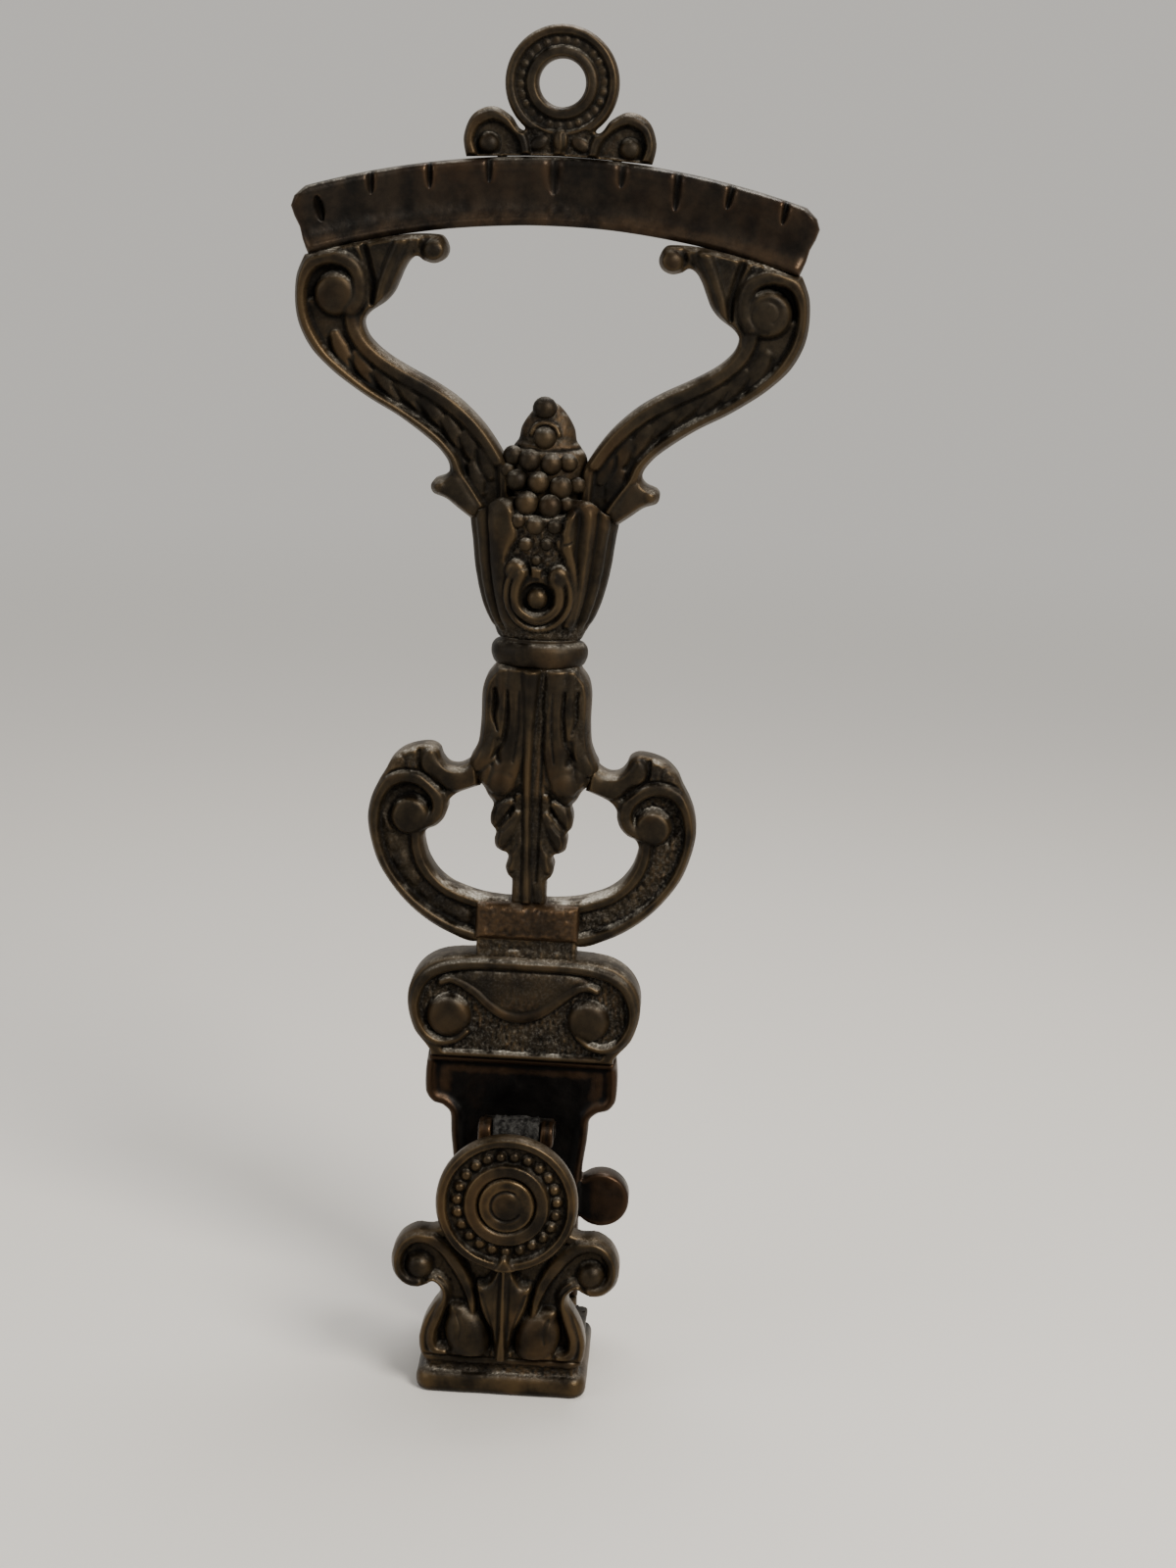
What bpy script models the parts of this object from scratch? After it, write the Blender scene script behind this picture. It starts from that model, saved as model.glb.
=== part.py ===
"""Wall-hung lever corkscrew of dark cast bronze, built as separate castings on a tie rod.

The long ornate handle is the lever: a hanging ring, a curved grip bar, two S-shaped arms, a vase, a leaf
stem between two C-scrolls and an Ionic capital, which carries a flat shank. A J-shaped foot hinges at the
shank's lower end, and a folding worm hangs in the trough between the foot's front cheek and the shank.

Metres, +Z up. +X is to the right and -Y is the front. The origin is on the underside of the foot.
The numbers below are in millimetres, and MM turns them into metres.
"""

import math

import bmesh
import bpy
from mathutils import Matrix, Vector

MM = 0.001
GAP = 0.3  # clearance between two touching castings
BORE_GAP = 0.3  # radial clearance of a pin in its bore
FLAT_ANGLE = 0.005  # radians: faces flatter than this to each other are one flat face

HANDLE_Y = 19.0  # mid-plane of the handle's castings
PLATE = 8.0  # thickness of the handle's flat castings

RING_Z = 322.8
RING_RADIUS = 13.7
RING_HOLE = 5.7
RING_THICK = 6.0
CREST_EYE = (16.6, 308.6)  # centre of a crest volute
CREST_SCREW_X = 14.0

BAR_HALF = 63.0
BAR_TOP_Z = 305.2  # at the middle of the bar
BAR_HEIGHT = 16.4
BAR_ARCH = 10.0  # how far the ends drop
BAR_BOW = 9.0  # how far the ends come forward
BAR_STEPS = 22
BAR_RIVET_X = 50.0
ARM_LEAN = 7.0  # how far an arm's top leans forward
ARM_FOOT_Z = 216.6
ARM_TOP_Z = 278.0
ARM_DOWEL_X = 14.5

VASE_TOP_Z = 216.2
COLLAR_TOP_Z = 186.2
COLLAR_LOW_Z = 179.6
STEM_LOW_Z = 118.3
BAND_TOP_Z = 118.0
BAND_LOW_Z = 109.0
CAPITAL_TOP_Z = 103.8
CAPITAL_LOW_Z = 76.6
TIE_ROD_RADIUS = 2.5
TIE_ROD_LOW_Z = 97.0
TIE_ROD_TOP_Z = 230.0

SHANK_FRONT_Y = 16.0
SHANK_BACK_Y = 23.0
LOBE = (22.2, 38.0)  # centre of the round lobe on the shank's right edge
LOBE_RADIUS = 7.3

HINGE_Y = 19.0  # foot hinge axis, which runs along X
HINGE_Z = 5.0
KNUCKLE_RADIUS = 5.0
KNUCKLE_HALF = 11.5
EAR_INNER = 11.8
EAR_OUTER = 17.0
HINGE_PIN_RADIUS = 2.0

WORM_Y = 3.0  # worm hinge axis, which runs along X
WORM_Z = 61.0
WORM_BARREL_RADIUS = 4.2
WORM_BARREL_HALF = 6.0
WORM_EAR_INNER = 6.4
WORM_EAR_OUTER = 9.6
WORM_PIN_RADIUS = 1.5
WORM_WIRE = 1.3
WORM_RADIUS = 3.2
WORM_PITCH = 8.0
WORM_TURNS = 4.5
WORM_TOP_Z = 56.5
WORM_TIP_Z = 13.0

FOOT_FRONT_Y = -25.0
FOOT_BACK_Y = 13.6
FOOT_HALF = 21.4
FOOT_HEIGHT = 9.8
CHEEK_FRONT_Y = -24.0
CHEEK_BACK_Y = -17.0
ROSETTE_Z = 52.2
ROSETTE_RADIUS = 17.2
ROSETTE_FRONT_Y = -29.0

BRONZE = (0.115, 0.078, 0.052)
WORN_BRONZE = (0.20, 0.125, 0.07)
STEEL = (0.32, 0.31, 0.30)


def clear_scene():
    for thing in list(bpy.data.objects):
        bpy.data.objects.remove(thing, do_unlink=True)


def new_collection(name):
    group = bpy.data.collections.new(name)
    bpy.context.scene.collection.children.link(group)
    return group


def metal(name, colour, roughness):
    made = bpy.data.materials.new(name)
    made.use_nodes = True
    shader = made.node_tree.nodes["Principled BSDF"]
    shader.inputs["Base Color"].default_value = (*colour, 1.0)
    shader.inputs["Roughness"].default_value = roughness
    shader.inputs["Metallic"].default_value = 1.0
    return made


def finished(name, mesh, colour=BRONZE, roughness=0.45):
    """A part: its own object and material, in the part collection."""
    thing = bpy.data.objects.new(name, mesh)
    mesh.materials.append(metal(name + "_metal", colour, roughness))
    mesh.shade_smooth()
    mesh.set_sharp_from_angle(angle=math.radians(35))
    PARTS.objects.link(thing)
    return thing


def cutter(name, mesh):
    thing = bpy.data.objects.new(name, mesh)
    thing.hide_render = True
    thing.display_type = "WIRE"
    CUTTERS.objects.link(thing)
    return thing


def mesh_from(name, bm):
    bmesh.ops.recalc_face_normals(bm, faces=bm.faces)
    mesh = bpy.data.meshes.new(name)
    bm.to_mesh(mesh)
    bm.free()
    return mesh


def box_mesh(name, low, high, bevel=0.0, segments=2):
    """A box between two corners, in millimetres."""
    bm = bmesh.new()
    bmesh.ops.create_cube(bm, size=1.0)
    size = [(b - a) * MM for a, b in zip(low, high)]
    middle = [(a + b) / 2 * MM for a, b in zip(low, high)]
    bmesh.ops.scale(bm, vec=size, verts=bm.verts)
    bmesh.ops.translate(bm, vec=middle, verts=bm.verts)
    if bevel:
        bmesh.ops.bevel(
            bm, geom=list(bm.edges), offset=bevel * MM, segments=segments, profile=0.5, affect="EDGES"
        )
    return mesh_from(name, bm)


def rod_mesh(name, start, end, radius, sides=20, end_radius=None):
    """A cylinder or cone between two points, in millimetres."""
    a = Vector(start) * MM
    b = Vector(end) * MM
    bm = bmesh.new()
    bmesh.ops.create_cone(
        bm,
        cap_ends=True,
        segments=sides,
        radius1=radius * MM,
        radius2=(radius if end_radius is None else end_radius) * MM,
        depth=(b - a).length,
    )
    turn = Vector((0, 0, 1)).rotation_difference(b - a).to_matrix().to_4x4()
    bmesh.ops.transform(bm, matrix=Matrix.Translation((a + b) / 2) @ turn, verts=bm.verts)
    return mesh_from(name, bm)


def ball_mesh(name, centre, radius):
    bm = bmesh.new()
    bmesh.ops.create_uvsphere(bm, u_segments=14, v_segments=9, radius=radius * MM)
    bmesh.ops.translate(bm, vec=Vector(centre) * MM, verts=bm.verts)
    return mesh_from(name, bm)


def outline_mesh(name, points, front_y, back_y, bevel=0.8, resolution=3):
    """A flat casting from a closed outline of (x, z) points. A third value marks a sharp corner."""
    curve = bpy.data.curves.new(name + "_outline", "CURVE")
    curve.dimensions = "2D"
    curve.fill_mode = "BOTH"
    curve.resolution_u = resolution
    curve.extrude = (abs(back_y - front_y) / 2 - bevel) * MM
    curve.bevel_depth = bevel * MM
    curve.bevel_resolution = 1
    curve.offset = -bevel * MM
    spline = curve.splines.new("BEZIER")
    spline.bezier_points.add(len(points) - 1)
    spline.use_cyclic_u = True
    for point, knot in zip(points, spline.bezier_points):
        kind = "VECTOR" if len(point) > 2 else "AUTO"
        knot.co = (point[0] * MM, point[1] * MM, 0)
        knot.handle_left_type = kind
        knot.handle_right_type = kind
    guide = bpy.data.objects.new(name + "_outline", curve)
    CUTTERS.objects.link(guide)
    bpy.context.view_layer.update()
    graph = bpy.context.evaluated_depsgraph_get()
    mesh = bpy.data.meshes.new_from_object(guide.evaluated_get(graph))
    bpy.data.objects.remove(guide, do_unlink=True)
    bm = bmesh.new()
    bm.from_mesh(mesh)
    bmesh.ops.remove_doubles(bm, verts=bm.verts, dist=0.00001)
    stand = Matrix.Rotation(math.radians(90), 4, "X")
    middle = Matrix.Translation((0, (front_y + back_y) / 2 * MM, 0))
    bmesh.ops.transform(bm, matrix=middle @ stand, verts=bm.verts)
    bmesh.ops.dissolve_limit(bm, angle_limit=FLAT_ANGLE, verts=bm.verts, edges=bm.edges)
    return mesh_from(name, bm)


def mirrored(points):
    """The outline on the other side of the object, in the same turning direction."""
    return [(-p[0], *p[1:]) for p in reversed(points)]


def both_sides(points):
    """A whole outline from its right half, which runs from the top middle down to the bottom middle."""
    left = [(-p[0], *p[1:]) for p in reversed(points) if p[0] > 0]
    return points + left


def turned(name, profile, depth_share=1.0, centre_y=HANDLE_Y, steps=32):
    """A lathe part: (radius, z) points down its outer side, flattened front to back by depth_share."""
    mesh = bpy.data.meshes.new(name)
    points = [(r * MM, 0, z * MM) for r, z in profile]
    mesh.from_pydata(points, [(i, i + 1) for i in range(len(points) - 1)], [])
    guide = bpy.data.objects.new(name + "_profile", mesh)
    CUTTERS.objects.link(guide)
    screw = guide.modifiers.new("lathe", "SCREW")
    screw.axis = "Z"
    screw.steps = steps
    screw.render_steps = steps
    screw.use_merge_vertices = True
    screw.merge_threshold = 0.00005
    bpy.context.view_layer.update()
    graph = bpy.context.evaluated_depsgraph_get()
    made = bpy.data.meshes.new_from_object(guide.evaluated_get(graph))
    bpy.data.objects.remove(guide, do_unlink=True)
    squash = Matrix.Diagonal((1, depth_share, 1, 1))
    made.transform(Matrix.Translation((0, centre_y * MM, 0)) @ squash)
    return made


def boolean(thing, other, operation):
    change = thing.modifiers.new(operation.lower(), "BOOLEAN")
    change.operation = operation
    change.object = other
    change.solver = "EXACT"


def cut(thing, mesh):
    boolean(thing, cutter(mesh.name, mesh), "DIFFERENCE")


def join(thing, mesh):
    boolean(thing, cutter(mesh.name, mesh), "UNION")


def bore(thing, start, end, pin_radius):
    """A hole with running clearance for a pin between two points."""
    cut(thing, rod_mesh(thing.name + "_bore", start, end, pin_radius + BORE_GAP))


def pin(name, start, end, radius, sides=20):
    return finished(name, rod_mesh(name, start, end, radius, sides), WORN_BRONZE, 0.4)


def bar_drop(x):
    """How far the grip bar lies below its middle."""
    return BAR_ARCH * (x / BAR_HALF) ** 2


def bar_forward(x):
    return BAR_BOW * (x / BAR_HALF) ** 2


def grip_bar():
    """A hollow-fronted band, extruded in steps along its arch. Its section is in (y, z) at the middle."""
    top = BAR_TOP_Z
    low = BAR_TOP_Z - BAR_HEIGHT
    section = [
        (-5.5, top),
        (-5.7, top - 1.6),
        (-4.2, top - 4.0),
        (-3.2, top - 8.0),
        (-3.6, low + 3.6),
        (-4.6, low + 1.4),
        (-4.0, low),
        (3.6, low),
        (4.2, low + 1.2),
        (4.2, top - 1.2),
        (3.6, top),
    ]
    bm = bmesh.new()
    rim = [bm.verts.new((-BAR_HALF * MM, (HANDLE_Y + y) * MM, z * MM)) for y, z in section]
    face = bm.faces.new(rim)
    step = 2 * BAR_HALF / BAR_STEPS * MM
    for i in range(BAR_STEPS):
        grown = bmesh.ops.extrude_face_region(bm, geom=[face])["geom"]
        moved = [v for v in grown if isinstance(v, bmesh.types.BMVert)]
        bmesh.ops.translate(bm, vec=(step, 0, 0), verts=moved)
        ends = [f for f in grown if isinstance(f, bmesh.types.BMFace)]
        if i > 0:
            bmesh.ops.delete(bm, geom=[face], context="FACES_ONLY")
        face = ends[0]
    for v in bm.verts:
        x = v.co.x / MM
        v.co.z -= bar_drop(x) * MM
        v.co.y -= bar_forward(x) * MM
    return finished("grip_bar", mesh_from("grip_bar", bm))


def crest():
    """The hanging ring on its crest of two volutes."""
    half = [
        (0, 313.0),
        (8.6, 311.4),
        (12.4, 314.2),
        (16.8, 316.0),
        (21.4, 313.4),
        (23.1, 308.8),
        (21.6, 304.6, "corner"),
        (0, 305.5),
    ]
    front = HANDLE_Y - RING_THICK / 2
    back = HANDLE_Y + RING_THICK / 2
    ring = finished("hanging_ring", outline_mesh("hanging_ring", both_sides(half), front, back))
    join(ring, rod_mesh("ring_disc", (0, front, RING_Z), (0, back, RING_Z), RING_RADIUS, 40))
    for side in (-1, 1):
        x, z = CREST_EYE
        boss = rod_mesh("crest_boss", (side * x, front + 1, z), (side * x, front - 1.5, z), 2.6, 16)
        join(ring, boss)
    cut(ring, rod_mesh("ring_hole", (0, 0, RING_Z), (0, 40, RING_Z), RING_HOLE, 32))
    return ring


ARM = [
    (60.4, 279.0, "corner"),
    (62.6, 271.5),
    (61.9, 262.5),
    (57.5, 253.3),
    (48.5, 246.0),
    (36.6, 239.6),
    (27.6, 234.5),
    (22.9, 229.3),
    (23.0, 226.3),
    (27.0, 223.4),
    (22.4, 220.6),
    (18.6, ARM_FOOT_Z, "corner"),
    (9.8, ARM_FOOT_Z, "corner"),
    (10.2, 235.4),
    (15.6, 240.8),
    (22.6, 246.2),
    (33.4, 251.6),
    (41.8, 256.4),
    (45.6, 261.0),
    (45.4, 264.8),
    (40.9, 268.2),
    (38.1, 273.3),
    (34.0, 277.6),
    (30.0, 279.2),
    (26.8, 281.8),
    (29.6, 284.6),
    (36.0, 285.0),
    (48.0, 282.4),
]


def arm(name, side):
    """An S-scroll between the vase and the grip bar, with its spur and its leaf bracket."""
    points = ARM if side > 0 else mirrored(ARM)
    front = HANDLE_Y - PLATE / 2
    mesh = outline_mesh(name, points, front, HANDLE_Y + PLATE / 2)
    for v in mesh.vertices:
        share = (v.co.z / MM - ARM_FOOT_Z) / (ARM_TOP_Z - ARM_FOOT_Z)
        v.co.y -= ARM_LEAN * share * MM
    made = finished(name, mesh)
    eye_y = front - ARM_LEAN * 0.87
    join(made, rod_mesh(name + "_eye", (side * 51.2, eye_y + 2, 270.2), (side * 51.2, eye_y - 1.5, 270.2), 4.2))
    return made


C_SCROLL = [
    (14.7, 149.6, "corner"),
    (21.0, 146.2),
    (23.9, 141.0),
    (24.8, 136.2),
    (27.2, 133.6),
    (26.4, 129.6),
    (23.4, 125.0),
    (18.0, 121.4),
    (13.6, 119.8, "corner"),
    (13.6, 107.9, "corner"),
    (19.2, 110.0),
    (26.5, 114.0),
    (33.8, 120.1),
    (39.6, 128.8),
    (41.8, 138.0),
    (40.4, 146.0),
    (36.4, 152.0),
    (31.6, 155.8),
    (26.9, 157.6),
    (23.0, 156.6),
    (19.0, 153.6),
    (16.4, 153.7, "corner"),
]


def c_scroll(name, side):
    points = C_SCROLL if side > 0 else mirrored(C_SCROLL)
    front = HANDLE_Y - PLATE / 2
    made = finished(name, outline_mesh(name, points, front, HANDLE_Y + PLATE / 2))
    join(made, rod_mesh(name + "_eye", (side * 29.2, front + 2, 140.2), (side * 29.2, front - 1.6, 140.2), 4.0))
    return made


def vase_cup():
    profile = [
        (0, VASE_TOP_Z),
        (17.6, VASE_TOP_Z),
        (18.6, 214.6),
        (18.1, 209.0),
        (17.1, 203.0),
        (15.6, 197.0),
        (13.4, 191.4),
        (11.2, 187.6),
        (10.4, COLLAR_TOP_Z + GAP),
        (0, COLLAR_TOP_Z + GAP),
    ]
    return finished("vase_cup", turned("vase_cup", profile, 0.56))


def grape_finial():
    """The bunch of grapes in the vase's mouth, with its calyx and two balls."""
    profile = [
        (0, 240.0),
        (4.6, 239.2),
        (6.8, 236.8),
        (7.0, 233.6),
        (8.8, 230.0),
        (9.1, 224.0),
        (8.6, 218.6),
        (7.6, VASE_TOP_Z + GAP),
        (0, VASE_TOP_Z + GAP),
    ]
    made = finished("grape_finial", turned("grape_finial", profile, 0.9, steps=24))
    join(made, ball_mesh("finial_ball", (0, HANDLE_Y, 243.6), 3.9))
    for x, z in ((-5.2, 229.5), (0.0, 227.4), (5.2, 229.5), (-3.0, 222.0), (3.0, 222.0)):
        join(made, ball_mesh("grape", (x, HANDLE_Y - 7.0, z), 2.9))
    return made


def collar_ring():
    middle = (COLLAR_TOP_Z + COLLAR_LOW_Z) / 2
    profile = [(0, COLLAR_TOP_Z), (9.6, COLLAR_TOP_Z)]
    for i in range(7):
        turn = math.radians(75 - 25 * i)
        profile.append((9.4 + 2.8 * math.cos(turn), middle + 3.2 * math.sin(turn)))
    profile += [(9.6, COLLAR_LOW_Z), (0, COLLAR_LOW_Z)]
    return finished("collar_ring", turned("collar_ring", profile, 0.7))


def leaf_stem():
    """The acanthus stem, which narrows to the band."""
    half = [
        (0, COLLAR_LOW_Z - GAP),
        (10.6, COLLAR_LOW_Z - GAP, "corner"),
        (13.2, 176.4),
        (13.9, 172.0),
        (13.6, 163.6),
        (15.6, 157.6),
        (15.3, 153.0),
        (13.4, 147.0),
        (11.4, 139.0),
        (8.6, 129.0),
        (4.9, STEM_LOW_Z, "corner"),
        (0, STEM_LOW_Z),
    ]
    mesh = outline_mesh("leaf_stem", both_sides(half), HANDLE_Y - 6, HANDLE_Y + 5, 1.4)
    return finished("leaf_stem", mesh)


def scroll_band():
    low = (-13.1, HANDLE_Y - 6.5, BAND_LOW_Z)
    high = (13.1, HANDLE_Y + 5.5, BAND_TOP_Z)
    return finished("scroll_band", box_mesh("scroll_band", low, high, 1.0), WORN_BRONZE)


def neck_block():
    low = (-12.8, HANDLE_Y - 5, CAPITAL_TOP_Z + GAP)
    high = (12.8, HANDLE_Y + 5, BAND_LOW_Z - GAP)
    return finished("neck_block", box_mesh("neck_block", low, high, 0.5))


def ionic_capital():
    """The capital: a top moulding, two volutes and a plain field, slotted at the back for the shank."""
    half = [
        (0, CAPITAL_TOP_Z),
        (14.0, CAPITAL_TOP_Z),
        (25.0, 101.2),
        (29.6, 95.6),
        (29.7, 88.8),
        (27.4, 82.2),
        (23.9, 79.2),
        (23.6, CAPITAL_LOW_Z, "corner"),
        (0, CAPITAL_LOW_Z),
    ]
    front = HANDLE_Y - 6
    made = finished("ionic_capital", outline_mesh("ionic_capital", both_sides(half), front, HANDLE_Y + 5, 1.0))
    for side in (-1, 1):
        eye = rod_mesh("capital_eye", (side * 17.6, front + 2, 88.2), (side * 17.6, front - 2, 88.2), 5.2, 24)
        join(made, eye)
    slot_low = (-10 - GAP, SHANK_BACK_Y - 3 - GAP, CAPITAL_LOW_Z - 5)
    slot_high = (10 + GAP, SHANK_BACK_Y + 9, 94 + GAP)
    cut(made, box_mesh("tongue_slot", slot_low, slot_high))
    return made


def shank_plate():
    """The flat shank: shoulders, waist, the round lobe on its right edge, and the hinge knuckle below."""
    half = [
        (0, CAPITAL_LOW_Z - GAP),
        (24.4, CAPITAL_LOW_Z - GAP, "corner"),
        (24.8, 70.0),
        (24.4, 64.4),
        (20.0, 61.6),
        (17.6, 58.0),
        (17.7, 53.0),
        (16.8, 45.0),
        (16.4, 30.0),
        (17.0, 20.0),
        (17.0, 11.0, "corner"),
        (0, 11.0),
    ]
    made = finished("shank_plate", outline_mesh("shank_plate", both_sides(half), SHANK_FRONT_Y, SHANK_BACK_Y))
    x, z = LOBE
    join(made, rod_mesh("lobe", (x, SHANK_FRONT_Y + 0.5, z), (x, SHANK_BACK_Y - 1, z), LOBE_RADIUS, 32))
    join(made, box_mesh("tongue", (-10, SHANK_BACK_Y - 3, 70), (10, SHANK_BACK_Y - 0.2, 94)))
    knuckle_low = (-KNUCKLE_HALF, HINGE_Y, HINGE_Z)
    join(made, rod_mesh("knuckle", knuckle_low, (KNUCKLE_HALF, HINGE_Y, HINGE_Z), KNUCKLE_RADIUS, 28))
    web_low = (-KNUCKLE_HALF, SHANK_FRONT_Y + 0.4, HINGE_Z)
    join(made, box_mesh("web", web_low, (KNUCKLE_HALF, SHANK_BACK_Y - 0.4, 13)))
    bore(made, (-30, HINGE_Y, HINGE_Z), (30, HINGE_Y, HINGE_Z), HINGE_PIN_RADIUS)
    return made


def worm_clevis():
    """Two ears on a back plate, which hold the worm's pin."""
    plate = box_mesh("worm_clevis", (-WORM_EAR_OUTER, 12.6, 55), (WORM_EAR_OUTER, SHANK_FRONT_Y - GAP, 66), 0.6)
    made = finished("worm_clevis", plate)
    for side in (-1, 1):
        inner = min(side * WORM_EAR_INNER, side * WORM_EAR_OUTER)
        outer = max(side * WORM_EAR_INNER, side * WORM_EAR_OUTER)
        join(made, box_mesh("ear_web", (inner, WORM_Y, WORM_Z - 3.8), (outer, 14, WORM_Z + 3.8)))
        join(made, rod_mesh("ear_end", (inner, WORM_Y, WORM_Z), (outer, WORM_Y, WORM_Z), 3.9, 24))
    bore(made, (-12, WORM_Y, WORM_Z), (12, WORM_Y, WORM_Z), WORM_PIN_RADIUS)
    return made


def worm_barrel():
    ends = ((-WORM_BARREL_HALF, WORM_Y, WORM_Z), (WORM_BARREL_HALF, WORM_Y, WORM_Z))
    made = finished("worm_barrel", rod_mesh("worm_barrel", *ends, WORM_BARREL_RADIUS, 28))
    bore(made, (-12, WORM_Y, WORM_Z), (12, WORM_Y, WORM_Z), WORM_PIN_RADIUS)
    return made


def worm():
    """The steel helix: a straight root, then turns that end in a point."""
    root = [(0.0, 0.0, WORM_TOP_Z), (0.0, 0.0, WORM_TOP_Z - 3)]
    start = WORM_TIP_Z + WORM_PITCH * WORM_TURNS
    per_turn = 14
    count = int(per_turn * WORM_TURNS)
    turns = []
    for i in range(count + 1):
        angle = -2 * math.pi * i / per_turn  # a right-handed thread
        swell = min(1.0, i / (per_turn * 0.35))
        x = WORM_RADIUS * swell * math.cos(angle)
        y = WORM_RADIUS * swell * math.sin(angle)
        turns.append((x, y, start - WORM_PITCH * i / per_turn))
    points = root + turns
    curve = bpy.data.curves.new("worm", "CURVE")
    curve.dimensions = "3D"
    curve.bevel_depth = WORM_WIRE * MM
    curve.bevel_resolution = 2
    curve.use_fill_caps = True
    spline = curve.splines.new("POLY")
    spline.points.add(len(points) - 1)
    for i, (x, y, z) in enumerate(points):
        spline.points[i].co = (x * MM, (WORM_Y + y) * MM, z * MM, 1)
        from_tip = (len(points) - 1 - i) / 8
        spline.points[i].radius = min(1.0, 0.25 + 0.75 * from_tip)
    thing = bpy.data.objects.new("worm", curve)
    curve.materials.append(metal("worm_metal", STEEL, 0.3))
    PARTS.objects.link(thing)
    return thing


def foot_base():
    """The sole of the foot: a rounded lip under a plinth, with two hinge ears at the back."""
    lip = ((-FOOT_HALF, FOOT_FRONT_Y, 0), (FOOT_HALF, FOOT_BACK_Y, 5.6))
    made = finished("foot_base", box_mesh("foot_base", *lip, 1.6, 3))
    plinth_low = (-FOOT_HALF + 1.4, FOOT_FRONT_Y + 1.4, 3)
    join(made, box_mesh("plinth", plinth_low, (FOOT_HALF - 1.4, FOOT_BACK_Y - 0.6, FOOT_HEIGHT), 0.7))
    for side in (-1, 1):
        inner = min(side * EAR_INNER, side * EAR_OUTER)
        outer = max(side * EAR_INNER, side * EAR_OUTER)
        join(made, box_mesh("ear_arm", (inner, 8, 1.2), (outer, HINGE_Y, 8.8)))
        join(made, rod_mesh("ear", (inner, HINGE_Y, HINGE_Z), (outer, HINGE_Y, HINGE_Z), KNUCKLE_RADIUS, 28))
    bore(made, (-30, HINGE_Y, HINGE_Z), (30, HINGE_Y, HINGE_Z), HINGE_PIN_RADIUS)
    return made


def foot_cheek():
    """The front cheek: a waisted body with a volute on each side and a seat for the rosette."""
    half = [
        (0, 65.0),
        (7.0, 63.0),
        (11.6, 57.0),
        (13.0, 49.0),
        (16.0, 43.2),
        (22.4, 43.6),
        (27.4, 41.0),
        (29.3, 35.3),
        (27.2, 29.8),
        (22.6, 27.8),
        (18.4, 30.0),
        (16.8, 26.2),
        (18.0, 21.4),
        (20.4, 16.0),
        (20.6, FOOT_HEIGHT + GAP, "corner"),
        (0, FOOT_HEIGHT + GAP),
    ]
    made = finished("foot_cheek", outline_mesh("foot_cheek", both_sides(half), CHEEK_FRONT_Y, CHEEK_BACK_Y))
    for side in (-1, 1):
        start = (side * 22.6, CHEEK_FRONT_Y + 2, 34)
        join(made, rod_mesh("foot_eye", start, (side * 22.6, CHEEK_FRONT_Y - 2, 34), 4.2, 20))
    blade = both_sides([(0, 33.5), (4.0, 31.0), (6.2, 27.5), (3.4, 16.0), (2.2, 11.8), (0, 11.4)])
    join(made, outline_mesh("spear_leaf", blade, CHEEK_FRONT_Y - 2, CHEEK_FRONT_Y + 1, 0.5))
    return made


def facing_front(mesh, z):
    """Turns a lathe part made about the Z axis so that its top looks to the front, centred at height z."""
    mesh.transform(Matrix.Translation((0, 0, z * MM)) @ Matrix.Rotation(math.radians(90), 4, "X"))
    return mesh


def rosette():
    """A round medallion: rim, bead channel and inner ring."""
    front = -ROSETTE_FRONT_Y
    back = -CHEEK_FRONT_Y + GAP
    profile = [
        (0, front - 1.2),
        (6.4, front - 1.2),
        (6.8, front - 0.2),
        (9.8, front - 0.2),
        (10.4, front - 1.6),
        (13.8, front - 1.6),
        (14.4, front - 0.4),
        (16.6, front - 0.6),
        (ROSETTE_RADIUS, front - 1.8),
        (ROSETTE_RADIUS - 0.4, back),
        (0, back),
    ]
    mesh = facing_front(turned("rosette", profile, centre_y=0, steps=40), ROSETTE_Z)
    made = finished("rosette", mesh)
    bore(made, (0, -40, ROSETTE_Z), (0, -10, ROSETTE_Z), 2.0)
    return made


def rosette_rivet():
    head = -ROSETTE_FRONT_Y - 1.2 + GAP
    profile = [
        (0, head + 1.6),
        (2.6, head + 1.4),
        (4.6, head + 0.7),
        (5.2, head),
        (2.0, head),
        (2.0, -CHEEK_BACK_Y + 0.4),
        (0, -CHEEK_BACK_Y + 0.4),
    ]
    mesh = facing_front(turned("rosette_rivet", profile, centre_y=0, steps=24), ROSETTE_Z)
    return finished("rosette_rivet", mesh, WORN_BRONZE)


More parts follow.
